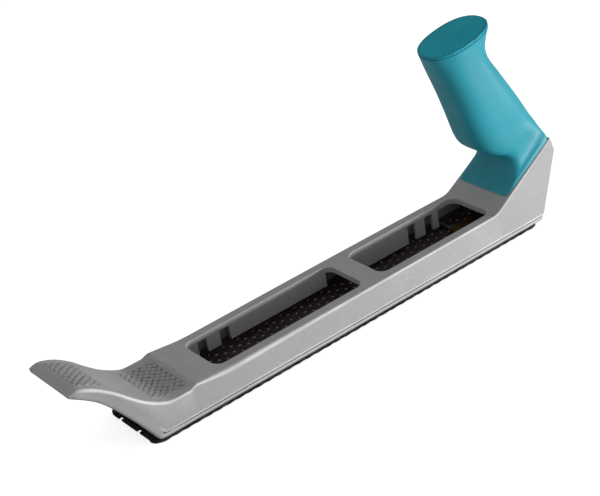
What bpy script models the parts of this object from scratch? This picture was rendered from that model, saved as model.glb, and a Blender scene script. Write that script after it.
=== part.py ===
"""A body file: a rasp plane with a cast body, a pinned blade under tension and a moulded handle.

Lengths are millimetres on a drawing whose X runs from the toe to the heel and whose Z starts at the
tooth tips. Its origin is under the middle of the rim. mesh_object brings a shape to metres, with the
origin under the middle of the whole tool.
"""

import math

import bmesh
import bpy
from mathutils import Matrix, Vector

MM = 0.001
GAP = 0.3

# How far a cutting tool runs past the faces it cuts
PAST = 10.0

# Where a rounded edge's middle point lies, as a share of the rounding
EDGE_MIDDLE = 0.29

# Rasp blade
BLADE_LENGTH = 250.7
BLADE_WIDTH = 41.6
BLADE_FRONT = -126.8
BLADE_CORNER = 5.0
SHEET = 0.9
TOOTH_DEPTH = 0.7
TOOTH_LENGTH = 2.4
TOOTH_SETBACK = 0.2
TOOTH_ROOT = 0.36
FLANGE_HEIGHT = 4.4
FLANGE_FRONT_SETBACK = 12.3
FLANGE_REAR_SETBACK = 4.4
FLANGE_FOOT = 0.1
HOLE_LENGTH = 2.6
HOLE_WIDTH = 2.2
HOLE_PITCH = 9.1
ROW_PITCH = 2.53
ROW_SHIFT = 5.46
ROW_PHASE = 7.8
ROW_MARGIN = 2.8
HOLE_FRONT_MARGIN = 8.0
HOLE_REAR_MARGIN = 10.0
NOTCH_DEPTH = 1.8
NOTCH_WIDTH = 2.8
END_NOTCHES = (10.2, -5.8)

# Blade pins, from the blade's ends
PIN_RADIUS = 1.3
PIN_RISE = 2.3
PIN_END_GAP = 0.2
FRONT_PIN_SETBACK = 20.8
REAR_PIN_SETBACK = 35.3

# Body casting: its rim from the blade's ends, its deck from the rim's front end
RIM_FRONT_SETBACK = 3.2
RIM_REAR_OVERHANG = 1.0
RIM_RISE = 1.0
RIM_EDGE = 0.8
RIM_NOSE = 3.0
RIM_NOSE_INSET = 0.4
WALL_AT_RIM = 1.1
SIDE_WALL = 2.4
RAMP_SIDE_WALL = 2.8
BAND_HEIGHT = 2.6
LIP_OUT = 0.6
LIP_RISE = 0.4
LIP_HEIGHT = 1.4
DECK_HEIGHT = 15.8
DECK_WIDTH = 40.0
DECK_TAPER = 1.3
DECK_THICKNESS = 3.0
DECK_SETBACK = 24.0
DECK_KINK_SETBACK = 42.6
DECK_FRONT_RISE = 1.6
STEP_DROP = 1.5
STEP_RUN = 1.6
STEP_FOOT = 4.0
TOE_FLAT_START = 14.0
TOE_FLAT_RUN = 4.0
TOE_FLARE = 1.5
TOP_EDGE = 1.2
RAMP_EDGE = 1.3

# Toe horn: places along the under and upper lines, from the rim's front end and bottom
HORN_UNDER = ((-1.2, 1.0), (-4.0, 5.6), (-8.4, 12.4), (-13.8, 20.0), (-19.6, 27.7), (-25.0, 33.5),
              (-30.4, 37.7), (-34.6, 40.2), (-37.2, 41.6))
HORN_UPPER = ((8.6, 16.6), (2.6, 19.4), (-3.6, 23.5), (-9.6, 28.8), (-15.9, 34.8), (-22.4, 39.7),
              (-27.9, 42.5), (-33.2, 44.1), (-36.8, 44.6))
HORN_HALF_UNDER = (21.6, 21.1, 20.7, 20.3, 20.0, 19.8, 19.6, 19.0, 17.4)
HORN_HALF_UPPER = (21.5, 21.5, 21.4, 21.1, 20.7, 20.0, 19.2, 18.6, 18.0)
HORN_EDGE = 1.2
TIP_EDGE = 1.2

# Windows in the deck, one behind the other; skirt gaps from the front window's start and the rear one's end,
# and how far before each window's end its skirt stops
WINDOW_WIDTH = 29.0
WINDOW_CORNER = 5.0
FRONT_WINDOW_SETBACK = 40.6
FRONT_WINDOW_LENGTH = 92.0
BRIDGE = 11.6
SKIRT = 1.8
SKIRT_FOOT = 4.8
FRONT_SKIRT_GAPS = ((8.1, 13.8), (21.4, 27.8))
REAR_SKIRT_GAPS = ((33.4, 27.6), (21.4, 15.5))
SKIRT_STOPS = (3.0, 11.5)

# Ramp and heel
RAMP_SETBACK = 28.9
RAMP_ANGLE = math.radians(30.6)
RAMP_LENGTH = 51.2
RAMP_HALF_TOP = 18.9
HEEL_CHAMFER = 7.4
HEEL_LEAN = math.radians(26.7)
HEEL_WALL = 3.6
HEEL_ROOF_SHARE = 1.1
HEEL_FOOT = 2.0
FRONT_WALL = 4.2
FRONT_WALL_LEAN = 4.0
FRONT_WALL_RISE = 2.0

# Front lug that the blade hooks on
LUG_LENGTH = 6.0
LUG_WIDTH = 10.0
LUG_FOOT = 0.8

# Tension hook, nut, screw and washer
STRAP = 1.6
STRAP_WIDTH = 14.0
STRAP_RISE = 0.4
HOOK_SETBACK = 10.9
HOOK_HEADROOM = 1.0
HOOK_DROP = 1.5
NUT_SIZE = 8.0
NUT_THICKNESS = 4.0
TENSION_RADIUS = 2.5
TENSION_BITE = 10.0
TENSION_HEAD = 4.6
TENSION_HEAD_HEIGHT = 3.2
TENSION_HEAD_STRAIGHT = 0.7
TENSION_HEAD_CROWN = 0.78
TENSION_BORE_GAP = 0.5
SEAT_DEPTH = 1.0
SEAT_GAP = 0.8
BOSS_RADIUS = 7.0
BOSS_LENGTH = 5.0
WASHER_THICKNESS = 1.0
TENSION_WASHER = 5.4
SLOT_WIDTH = 1.2
SLOT_DEPTH = 1.4

# Handle screws, side by side on the ramp
HANDLE_SCREWS = (("left", -8.0), ("right", 8.0))
HANDLE_SCREW_ALONG = 34.5
HANDLE_SCREW_RADIUS = 2.0
HANDLE_SCREW_BITE = 9.0
HANDLE_SCREW_HEAD = 3.8
HANDLE_SCREW_HEAD_HEIGHT = 2.6
HANDLE_SCREW_CROWN = 0.7
HANDLE_SCREW_STRAIGHT = 0.4
HANDLE_SCREW_POINT = 0.4
HANDLE_WASHER = 4.2

# Handle: front and back of each section, along the ramp from its base and square to it
GRIP_FRONT = ((10.7, 0.3), (14.8, 1.0), (20.2, 1.9), (24.8, 4.2), (27.4, 8.2), (26.4, 12.6), (22.4, 18.4),
              (19.7, 25.4), (19.6, 32.0), (21.0, 38.8), (23.4, 48.9), (26.2, 61.3), (28.6, 74.0),
              (30.1, 82.2), (30.8, 87.3))
GRIP_BACK = ((51.0, 0.3), (52.2, 2.4), (53.2, 4.3), (53.9, 6.2), (54.3, 8.1), (54.6, 10.0), (54.9, 12.0),
             (55.3, 14.5), (55.7, 18.2), (56.2, 24.5), (56.6, 34.7), (56.8, 48.6), (57.0, 60.4),
             (60.3, 67.2), (68.6, 73.1))
GRIP_HALF = (18.2, 17.6, 16.7, 15.9, 15.4, 15.2, 15.2, 15.2, 15.1, 15.0, 14.8, 14.4, 14.0, 13.8, 13.9)
GRIP_SQUARE = (14.0, 9.0, 6.0, 4.4, 3.6, 3.2, 3.0, 2.8, 2.65, 2.55, 2.5, 2.4, 2.35, 2.3, 2.3)
GRIP_POINT_COUNT = 28
CORE_POINT_COUNT = 20
GRIP_WALL = 3.4
CORE_START = 8
CAP_THICKNESS = 1.4
CAP_CROWN = 0.5
CAP_EDGE = 1.6
PLUG_ROOT = 1.0
PLUG_SHARE = 0.7

# Places that follow from the sizes above
SHEET_TOP = TOOTH_DEPTH + SHEET
RIM_Z = SHEET_TOP + RIM_RISE
DECK_Z = RIM_Z + DECK_HEIGHT
PIN_Z = SHEET_TOP + PIN_RISE
BLADE_HALF = BLADE_WIDTH / 2
BLADE_REAR = BLADE_FRONT + BLADE_LENGTH
FLANGE_START = BLADE_FRONT + FLANGE_FRONT_SETBACK
FLANGE_END = BLADE_REAR - FLANGE_REAR_SETBACK
FLANGE_TOP = SHEET_TOP + FLANGE_HEIGHT
SIDE_ROWS = int((BLADE_HALF - ROW_MARGIN) / ROW_PITCH)
FRONT_PIN_X = BLADE_FRONT + FRONT_PIN_SETBACK
REAR_PIN_X = BLADE_REAR - REAR_PIN_SETBACK
RIM_FRONT = BLADE_FRONT + RIM_FRONT_SETBACK
RIM_REAR = BLADE_REAR + RIM_REAR_OVERHANG
INNER_HALF = BLADE_HALF + GAP
BAND_HALF = INNER_HALF + WALL_AT_RIM
DECK_HALF = DECK_WIDTH / 2
DECK_FRONT = RIM_FRONT + DECK_SETBACK
DECK_KINK = RIM_FRONT + DECK_KINK_SETBACK
RAMP_BASE = RIM_REAR - RAMP_SETBACK
RAMP_UP = Vector((math.cos(RAMP_ANGLE), 0.0, math.sin(RAMP_ANGLE)))
RAMP_OUT = Vector((-math.sin(RAMP_ANGLE), 0.0, math.cos(RAMP_ANGLE)))
RAMP_ORIGIN = Vector((RAMP_BASE, 0.0, DECK_Z))
RAMP_TOP = RAMP_ORIGIN + RAMP_UP * RAMP_LENGTH
FRONT_WINDOW_X = RIM_FRONT + FRONT_WINDOW_SETBACK
REAR_WINDOW_X = FRONT_WINDOW_X + FRONT_WINDOW_LENGTH + BRIDGE
WINDOWS = (("front", FRONT_WINDOW_X, FRONT_WINDOW_X + FRONT_WINDOW_LENGTH),
           ("rear", REAR_WINDOW_X, RAMP_BASE))
STRAP_Z = PIN_Z + PIN_RADIUS + STRAP_RISE
NUT_Z = STRAP_Z + STRAP + GAP
SCREW_Z = NUT_Z + NUT_SIZE / 2
HOOK_BACK = RIM_REAR - HOOK_SETBACK
TENSION_SEAT = RIM_REAR + math.tan(HEEL_LEAN) * (SCREW_Z - RIM_Z) - SEAT_DEPTH
HEEL_X = RIM_REAR + math.tan(HEEL_LEAN) * (RAMP_TOP.z - HEEL_CHAMFER - RIM_Z)
TOE_X = RIM_FRONT + HORN_UNDER[-1][0]
SHIFT = Vector((-(TOE_X + HEEL_X) / 2, 0.0, 0.0))


def clear_scene():
    """Empties the startup scene and makes the two collections."""
    for obj in list(bpy.data.objects):
        bpy.data.objects.remove(obj, do_unlink=True)
    made = []
    for name in ("body_file", "cutters"):
        collection = bpy.data.collections.new(name)
        bpy.context.scene.collection.children.link(collection)
        made.append(collection)
    made[1].hide_render = True
    return made


PARTS, CUTTERS = clear_scene()


def mesh_object(name, mesh, tool=False):
    """An object from a drawing's mesh: a part, or a tool that cuts or joins."""
    bmesh.ops.recalc_face_normals(mesh, faces=mesh.faces)
    bmesh.ops.transform(mesh, matrix=Matrix.Scale(MM, 4) @ Matrix.Translation(SHIFT), verts=mesh.verts)
    data = bpy.data.meshes.new(name)
    mesh.to_mesh(data)
    mesh.free()
    obj = bpy.data.objects.new(name, data)
    (CUTTERS if tool else PARTS).objects.link(obj)
    if tool:
        obj.hide_render = True
        obj.display_type = "WIRE"
    return obj


def change(part, tool, operation):
    """A Boolean of the tool on the part."""
    modifier = part.modifiers.new(tool.name, "BOOLEAN")
    modifier.operation = operation
    modifier.solver = "EXACT"
    modifier.object = tool


def cut(part, tool):
    change(part, tool, "DIFFERENCE")


def join(part, tool):
    change(part, tool, "UNION")


def add_loft(mesh, rings):
    """A closed skin through rings of as many points each, with flat ends."""
    rows = [[mesh.verts.new(point) for point in ring] for ring in rings]
    count = len(rows[0])
    for row, following in zip(rows, rows[1:]):
        for i in range(count):
            j = (i + 1) % count
            mesh.faces.new((row[i], row[j], following[j], following[i]))
    mesh.faces.new(rows[0][::-1])
    mesh.faces.new(rows[-1])


def loft(name, rings, tool=False):
    mesh = bmesh.new()
    add_loft(mesh, rings)
    return mesh_object(name, mesh, tool)


def add_box(mesh, low, high):
    """A box between two corners, and its vertices."""
    low, high = Vector(low), Vector(high)
    matrix = Matrix.Translation((low + high) / 2) @ Matrix.Diagonal((*(high - low), 1.0))
    return bmesh.ops.create_cube(mesh, size=1.0, matrix=matrix)["verts"]


def box(name, low, high, corner=0.0, tool=False):
    """A box, with its upright edges rounded when corner is given."""
    mesh = bmesh.new()
    add_box(mesh, low, high)
    if corner:
        upright = [e for e in mesh.edges if abs(e.verts[0].co.z - e.verts[1].co.z) > 1e-6]
        bmesh.ops.bevel(mesh, geom=upright, offset=corner, segments=5, profile=0.5, affect="EDGES")
    return mesh_object(name, mesh, tool)


def boxes(name, corners, tool=False):
    """Several boxes in one object."""
    mesh = bmesh.new()
    for low, high in corners:
        add_box(mesh, low, high)
    return mesh_object(name, mesh, tool)


def turned(name, start, axis, profile, sides=24, tool=False):
    """A round solid along an axis from start: profile lists (distance along, radius)."""
    axis = Vector(axis).normalized()
    across = Vector((0.0, 1.0, 0.0)) if abs(axis.y) < 0.9 else Vector((0.0, 0.0, 1.0))
    other = axis.cross(across)
    start = Vector(start)
    rings = []
    for along, radius in profile:
        middle = start + axis * along
        turns = [2 * math.pi * i / sides for i in range(sides)]
        rings.append([middle + (across * math.cos(t) + other * math.sin(t)) * radius for t in turns])
    return loft(name, rings, tool)


def ring_washer(name, start, axis, inner, outer, thickness):
    """A flat washer along an axis from start."""
    part = turned(name, start, axis, ((0.0, outer), (thickness, outer)))
    bore = turned(name + "_bore", start, axis, ((-thickness, inner), (2 * thickness, inner)), tool=True)
    cut(part, bore)
    return part


def ramp_point(along, out, y=0.0):
    """A place measured along the ramp from its base and square to it."""
    point = RAMP_ORIGIN + RAMP_UP * along + RAMP_OUT * out
    return Vector((point.x, y, point.z))


# Body casting


def casting_ring(under, upper, half_under, half_upper, edge_under, edge_upper, lip):
    """One section of the body between a point on its under line and one on its upper line."""
    under, upper = Vector((under[0], 0.0, under[1])), Vector((upper[0], 0.0, upper[1]))
    up = upper - under
    length = up.length
    up.normalize()
    middle_under, middle_upper = EDGE_MIDDLE * edge_under, EDGE_MIDDLE * edge_upper
    marks = [(0.0, half_under - edge_under), (middle_under, half_under - middle_under),
             (edge_under, half_under)]
    if lip:
        rise = up.z
        marks += [(BAND_HEIGHT / rise, half_under), ((BAND_HEIGHT + LIP_RISE) / rise, half_under + LIP_OUT),
                  ((BAND_HEIGHT + LIP_HEIGHT) / rise, half_under + LIP_OUT / 3)]
    else:
        start, end = edge_under, length - edge_upper
        for share in (0.25, 0.5, 0.75):
            marks.append((start + (end - start) * share, half_under + (half_upper - half_under) * share))
    marks += [(length - edge_upper, half_upper), (length - middle_upper, half_upper - middle_upper),
              (length, half_upper - edge_upper)]
    right = [under + up * along + Vector((0.0, half, 0.0)) for along, half in marks]
    left = [Vector((p.x, -p.y, p.z)) for p in reversed(right)]
    return right + left


def horn_rings():
    """Sections of the toe horn, from its tip back to the rim."""
    rings = []
    rows = list(zip(HORN_UNDER, HORN_UPPER, HORN_HALF_UNDER, HORN_HALF_UPPER))
    for i, (under, upper, half_under, half_upper) in enumerate(reversed(rows)):
        edge = TIP_EDGE if i == 0 else HORN_EDGE
        low = (RIM_FRONT + under[0], RIM_Z + under[1])
        high = (RIM_FRONT + upper[0], RIM_Z + upper[1])
        rings.append(casting_ring(low, high, half_under, half_upper, edge, edge, False))
    return rings


def body_rings():
    """Sections of the body from the rim's front end to the heel."""
    step_z = DECK_Z + DECK_FRONT_RISE - STEP_DROP
    heel_low = RAMP_TOP.z - HEEL_CHAMFER
    flat = RIM_FRONT + TOE_FLAT_START
    toe_half, deck_front_half = DECK_HALF + TOE_FLARE, DECK_HALF + DECK_TAPER
    stations = (
        ((RIM_FRONT, RIM_Z), (flat, step_z), toe_half),
        ((RIM_FRONT + RIM_NOSE, RIM_Z), (flat + TOE_FLAT_RUN, step_z), toe_half),
        ((DECK_FRONT - 2 * STEP_FOOT, RIM_Z), (DECK_FRONT - STEP_RUN, step_z), toe_half),
        ((DECK_FRONT - STEP_FOOT, RIM_Z), (DECK_FRONT, DECK_Z + DECK_FRONT_RISE), deck_front_half),
        ((DECK_KINK, RIM_Z), (DECK_KINK, DECK_Z), deck_front_half),
        ((RAMP_BASE, RIM_Z), (RAMP_BASE, DECK_Z), DECK_HALF),
        ((RIM_REAR - HEEL_FOOT, RIM_Z), (RAMP_TOP.x, RAMP_TOP.z), RAMP_HALF_TOP),
        ((RIM_REAR, RIM_Z), (HEEL_X, heel_low), RAMP_HALF_TOP),
    )
    rings = []
    for i, (low, high, half) in enumerate(stations):
        half_under = BAND_HALF - RIM_NOSE_INSET if i == 0 else BAND_HALF
        edge = RAMP_EDGE if high[0] > RAMP_BASE else TOP_EDGE
        rings.append(casting_ring(low, high, half_under, half, RIM_EDGE, edge, True))
    return rings


def cavity_ring(under, upper, half_upper):
    """One section of the hollow under the deck."""
    shoulder = FLANGE_TOP + GAP
    share = (shoulder - under[1]) / (upper[1] - under[1])
    shoulder_x = under[0] + (upper[0] - under[0]) * share
    right = [Vector((under[0], INNER_HALF, under[1])), Vector((shoulder_x, INNER_HALF, shoulder)),
             Vector((upper[0], half_upper, upper[1]))]
    left = [Vector((p.x, -p.y, p.z)) for p in reversed(right)]
    return right + left


def cavity_rings():
    """Sections of the hollow, from behind the front wall to inside the heel."""
    low = RIM_Z - RIM_RISE - DECK_THICKNESS
    roof = DECK_Z - DECK_THICKNESS
    front = RIM_FRONT + FRONT_WALL
    lean = front + FRONT_WALL_LEAN
    step_roof = DECK_Z + DECK_FRONT_RISE - STEP_DROP - DECK_THICKNESS
    rear_low = RIM_REAR - HEEL_WALL - math.tan(HEEL_LEAN) * (RIM_Z - low)
    roof_top = RAMP_TOP - RAMP_OUT * DECK_THICKNESS - RAMP_UP * HEEL_WALL * HEEL_ROOF_SHARE
    half = DECK_HALF - SIDE_WALL
    return [
        cavity_ring((front, low), (lean, step_roof - FRONT_WALL_RISE), half - FRONT_WALL_RISE / 2),
        cavity_ring((lean, low), (lean + 3 * FRONT_WALL_RISE, step_roof), half),
        cavity_ring((DECK_FRONT, low), (DECK_FRONT, step_roof), half),
        cavity_ring((DECK_FRONT + DECK_THICKNESS, low), (DECK_FRONT + DECK_THICKNESS, roof), half),
        cavity_ring((RAMP_BASE, low), (RAMP_BASE, roof), half),
        cavity_ring((rear_low, low), (roof_top.x, roof_top.z), RAMP_HALF_TOP - RAMP_SIDE_WALL),
    ]


def make_casting():
    part = loft("body_casting", horn_rings() + body_rings())
    cut(part, loft("casting_cavity", cavity_rings(), tool=True))
    half = WINDOW_WIDTH / 2
    foot = RIM_Z + SKIRT_FOOT
    top = DECK_Z - DECK_THICKNESS / 2
    for name, start, end in WINDOWS:
        low, high = (start - SKIRT, -half - SKIRT, foot), (end + SKIRT, half + SKIRT, top)
        join(part, box(name + "_skirt", low, high, WINDOW_CORNER + SKIRT, tool=True))
    lug_start = FRONT_PIN_X + PIN_RADIUS + GAP
    lug_low = (lug_start, -LUG_WIDTH / 2, SHEET_TOP + LUG_FOOT)
    lug_high = (lug_start + LUG_LENGTH, LUG_WIDTH / 2, DECK_Z - DECK_THICKNESS / 3)
    join(part, box("front_lug", lug_low, lug_high, tool=True))
    for name, start, end in WINDOWS:
        low, high = (start, -half, RIM_Z - PAST), (end, half, DECK_Z + PAST)
        cut(part, box(name + "_window", low, high, WINDOW_CORNER, tool=True))
    spans = [(FRONT_WINDOW_X + start, FRONT_WINDOW_X + end) for start, end in FRONT_SKIRT_GAPS]
    spans += [(RAMP_BASE - start, RAMP_BASE - end) for start, end in REAR_SKIRT_GAPS]
    below, roof, outside = foot - SKIRT / 2, DECK_Z - DECK_THICKNESS, half + SKIRT * 1.5
    gaps = []
    for start, end in spans:
        for side in (-1, 1):
            ys = sorted((side * (half - SKIRT / 2), side * outside))
            gaps.append(((start, ys[0], below), (end, ys[1], roof)))
    for (name, start, end), stop in zip(WINDOWS, SKIRT_STOPS):
        gaps.append(((end - stop, -outside, below), (end + SKIRT * 1.5, outside, roof)))
    cut(part, boxes("skirt_gaps", gaps, tool=True))
    place = (TENSION_SEAT, 0.0, SCREW_Z)
    boss = ((-BOSS_LENGTH, BOSS_RADIUS), (0.0, BOSS_RADIUS))
    join(part, turned("tension_boss", place, (1, 0, 0), boss, tool=True))
    bore = TENSION_RADIUS + TENSION_BORE_GAP
    cut(part, turned("tension_bore", place, (1, 0, 0), ((-PAST, bore), (PAST, bore)), tool=True))
    seat = TENSION_WASHER + SEAT_GAP
    cut(part, turned("tension_seat", place, (1, 0, 0), ((0.0, seat), (PAST, seat)), tool=True))
    for name, side in HANDLE_SCREWS:
        start = ramp_point(HANDLE_SCREW_ALONG, 0.0, side)
        hole = HANDLE_SCREW_RADIUS + GAP
        span = ((-2 * DECK_THICKNESS, hole), (DECK_THICKNESS, hole))
        cut(part, turned(name + "_ramp_hole", start, RAMP_OUT, span, 16, tool=True))
    return part


# Rasp blade and its pins


def hole_places():
    """The middle of each hole: rows along the blade, each shifted on from the one beside it."""
    places = []
    for row in range(-SIDE_ROWS, SIDE_ROWS + 1):
        start = BLADE_FRONT + HOLE_FRONT_MARGIN + (row * ROW_SHIFT + ROW_PHASE) % HOLE_PITCH
        count = int((BLADE_REAR - HOLE_REAR_MARGIN - start) / HOLE_PITCH) + 1
        places += [(start + HOLE_PITCH * i, row * ROW_PITCH) for i in range(count)]
    return places


def make_blade():
    outer, inner = BLADE_HALF, BLADE_HALF - SHEET
    profile = ((-outer, TOOTH_DEPTH), (outer, TOOTH_DEPTH), (outer, FLANGE_TOP), (inner, FLANGE_TOP),
               (inner, SHEET_TOP), (-inner, SHEET_TOP), (-inner, FLANGE_TOP), (-outer, FLANGE_TOP))
    ends = (BLADE_FRONT - PAST, BLADE_REAR + PAST)
    part = loft("rasp_blade", [[Vector((x, y, z)) for y, z in profile] for x in ends])
    low = (BLADE_FRONT, -BLADE_HALF - GAP, -PAST)
    high = (BLADE_REAR, BLADE_HALF + GAP, FLANGE_TOP + PAST)
    change(part, box("blade_outline", low, high, BLADE_CORNER, tool=True), "INTERSECT")
    above, roof, wide = SHEET_TOP + FLANGE_FOOT, FLANGE_TOP + PAST, BLADE_HALF + PAST
    tips = (((BLADE_FRONT - PAST, -wide, above), (FLANGE_START, wide, roof)),
            ((FLANGE_END, -wide, above), (BLADE_REAR + PAST, wide, roof)))
    cut(part, boxes("flange_ends", tips, tool=True))
    half_length, half_width, half_notch = HOLE_LENGTH / 2, HOLE_WIDTH / 2, NOTCH_WIDTH / 2
    below, over = TOOTH_DEPTH - SHEET, SHEET_TOP + SHEET
    holes = [((x - half_length, y - half_width, below), (x + half_length, y + half_width, over))
             for x, y in hole_places()]
    holes += [((BLADE_FRONT - PAST, y - half_notch, below), (BLADE_FRONT + NOTCH_DEPTH, y + half_notch, over))
              for y in END_NOTCHES]
    cut(part, boxes("blade_holes", holes, tool=True))
    mesh = bmesh.new()
    root = TOOTH_DEPTH + TOOTH_ROOT
    for x, y in hole_places():
        edge = x + half_length + TOOTH_SETBACK
        wide = half_width - TOOTH_SETBACK
        rings = []
        for side in (-wide, wide):
            rings.append([Vector((edge, y + side, 0.0)), Vector((edge, y + side, root)),
                          Vector((edge + TOOTH_LENGTH * root / TOOTH_DEPTH, y + side, root))])
        add_loft(mesh, rings)
    join(part, mesh_object("blade_teeth", mesh, tool=True))
    for name, x in (("front", FRONT_PIN_X), ("rear", REAR_PIN_X)):
        bore = PIN_RADIUS + GAP
        span = ((-BLADE_HALF - PAST, bore), (BLADE_HALF + PAST, bore))
        cut(part, turned(name + "_pin_bore", (x, 0.0, PIN_Z), (0, 1, 0), span, 12, tool=True))
        length = BLADE_HALF - PIN_END_GAP
        profile = ((-length, PIN_RADIUS), (length, PIN_RADIUS))
        turned("blade_pin_" + name, (x, 0.0, PIN_Z), (0, 1, 0), profile, 16)
    return part


# Blade tension


def make_tension():
    tab = REAR_PIN_X - PIN_RADIUS - GAP
    half = STRAP_WIDTH / 2
    top = NUT_Z + NUT_SIZE + HOOK_HEADROOM
    foot = PIN_Z - HOOK_DROP
    outline = ((tab - STRAP, foot), (tab, foot), (tab, STRAP_Z), (HOOK_BACK, STRAP_Z), (HOOK_BACK, top),
               (HOOK_BACK - STRAP, top), (HOOK_BACK - STRAP, STRAP_Z + STRAP), (tab - STRAP, STRAP_Z + STRAP))
    hook = loft("tension_hook", [[Vector((x, y, z)) for x, z in outline] for y in (-half, half)])
    middle = (HOOK_BACK, 0.0, SCREW_Z)
    bore = TENSION_RADIUS + GAP
    cut(hook, turned("hook_bore", middle, (1, 0, 0), ((-2 * STRAP, bore), (STRAP, bore)), tool=True))
    nut_back = HOOK_BACK - STRAP - GAP
    low = (nut_back - NUT_THICKNESS, -NUT_SIZE / 2, NUT_Z)
    nut = box("tension_nut", low, (nut_back, NUT_SIZE / 2, NUT_Z + NUT_SIZE))
    nut_bore = ((-STRAP - 2 * NUT_THICKNESS, bore), (STRAP, bore))
    cut(nut, turned("nut_bore", middle, (1, 0, 0), nut_bore, tool=True))
    seat = TENSION_SEAT + GAP
    ring_washer("tension_washer", (seat, 0.0, SCREW_Z), (1, 0, 0), TENSION_RADIUS + GAP, TENSION_WASHER,
                WASHER_THICKNESS)
    head = seat + WASHER_THICKNESS + GAP
    profile = ((HOOK_BACK - TENSION_BITE - head, TENSION_RADIUS), (0.0, TENSION_RADIUS), (0.0, TENSION_HEAD),
               (TENSION_HEAD_HEIGHT * TENSION_HEAD_STRAIGHT, TENSION_HEAD),
               (TENSION_HEAD_HEIGHT, TENSION_HEAD * TENSION_HEAD_CROWN))
    screw = turned("tension_screw", (head, 0.0, SCREW_Z), (1, 0, 0), profile)
    crown = head + TENSION_HEAD_HEIGHT
    slot = box("tension_slot", (crown - SLOT_DEPTH, -2 * TENSION_HEAD, SCREW_Z - SLOT_WIDTH / 2),
               (crown + SLOT_DEPTH, 2 * TENSION_HEAD, SCREW_Z + SLOT_WIDTH / 2), tool=True)
    cut(screw, slot)


# Handle


def grip_ring(front, back, half, square, inset=0.0, count=GRIP_POINT_COUNT):
    """A rounded section between a front and a back point."""
    middle = (front + back) / 2
    run = (back - front) / 2
    reach = run.length - inset
    run.normalize()
    ring = []
    for i in range(count):
        turn = 2 * math.pi * i / count
        c, s = math.cos(turn), math.sin(turn)
        u = math.copysign(abs(c) ** (2 / square), c) * reach
        v = math.copysign(abs(s) ** (2 / square), s) * (half - inset)
        ring.append(middle + run * u + Vector((0.0, v, 0.0)))
    return ring


def grip_sections():
    """Front point, back point, half width and squareness of each section."""
    rows = []
    for front, back, half, square in zip(GRIP_FRONT, GRIP_BACK, GRIP_HALF, GRIP_SQUARE):
        rows.append((ramp_point(*front), ramp_point(*back), half, square))
    return rows


def between(section, following, share):
    """A section part of the way from one to the next."""
    return [first + (second - first) * share for first, second in zip(section, following)]


def make_handle():
    rows = grip_sections()
    grip = loft("handle_grip", [grip_ring(*row) for row in rows])
    front, back, half, square = rows[-1]
    run = (back - front).normalized()
    up = run.cross(Vector((0.0, 1.0, 0.0))) * -1.0
    if up.z < 0.0:
        up.negate()
    core = [grip_ring(*row, inset=GRIP_WALL, count=CORE_POINT_COUNT) for row in rows[CORE_START:]]
    core.append([point + up * GRIP_WALL for point in core[-1]])
    cut(grip, loft("grip_core", core, tool=True))
    for name, side in HANDLE_SCREWS:
        start = ramp_point(HANDLE_SCREW_ALONG, 0.0, side)
        pilot = HANDLE_SCREW_RADIUS + GAP
        span = ((-DECK_THICKNESS, pilot), (HANDLE_SCREW_BITE + HANDLE_SCREW_RADIUS, pilot))
        cut(grip, turned(name + "_pilot", start, RAMP_OUT, span, 16, tool=True))
        under = start - RAMP_OUT * (DECK_THICKNESS + GAP)
        ring_washer("handle_washer_" + name, under, -RAMP_OUT, HANDLE_SCREW_RADIUS + GAP, HANDLE_WASHER,
                    WASHER_THICKNESS)
        head = under - RAMP_OUT * (WASHER_THICKNESS + GAP)
        shank = DECK_THICKNESS + 2 * GAP + WASHER_THICKNESS + HANDLE_SCREW_BITE
        profile = ((-HANDLE_SCREW_HEAD_HEIGHT, HANDLE_SCREW_HEAD * HANDLE_SCREW_CROWN),
                   (-HANDLE_SCREW_HEAD_HEIGHT * HANDLE_SCREW_STRAIGHT, HANDLE_SCREW_HEAD),
                   (0.0, HANDLE_SCREW_HEAD), (0.0, HANDLE_SCREW_RADIUS),
                   (shank - HANDLE_SCREW_RADIUS, HANDLE_SCREW_RADIUS),
                   (shank, HANDLE_SCREW_RADIUS * HANDLE_SCREW_POINT))
        turned("handle_screw_" + name, head, RAMP_OUT, profile, 16)
    outline = grip_ring(front, back, half, square)
    crown = grip_ring(front, back, half, square, CAP_EDGE)
    cap = loft("handle_end_cap", [[point + up * GAP for point in outline],
                                  [point + up * (GAP + CAP_THICKNESS) for point in outline],
                                  [point + up * (GAP + CAP_THICKNESS + CAP_CROWN) for point in crown]])
    fit = GRIP_WALL + 2 * GAP
    mouth = grip_ring(front, back, half, square, fit, CORE_POINT_COUNT)
    foot = grip_ring(*between(rows[-1], rows[-2], PLUG_SHARE), fit, CORE_POINT_COUNT)
    join(cap, loft("cap_plug", [[point + up * (GAP + PLUG_ROOT) for point in mouth], mouth, foot], tool=True))


# Finishes

FINISHES = {
    "body_casting": ((0.42, 0.43, 0.45), 0.35, 0.45),
    "rasp_blade": ((0.012, 0.012, 0.013), 0.4, 0.4),
    "blade_pin_front": ((0.3, 0.3, 0.31), 1.0, 0.35),
    "blade_pin_rear": ((0.3, 0.3, 0.31), 1.0, 0.35),
    "tension_hook": ((0.55, 0.42, 0.2), 1.0, 0.4),
    "tension_nut": ((0.5, 0.5, 0.48), 1.0, 0.4),
    "tension_screw": ((0.5, 0.5, 0.5), 1.0, 0.35),
    "tension_washer": ((0.5, 0.5, 0.5), 1.0, 0.4),
    "handle_grip": ((0.03, 0.3, 0.36), 0.0, 0.35),
    "handle_end_cap": ((0.02, 0.2, 0.25), 0.0, 0.4),
}
STEEL = ((0.4, 0.4, 0.42), 1.0, 0.4)


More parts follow.
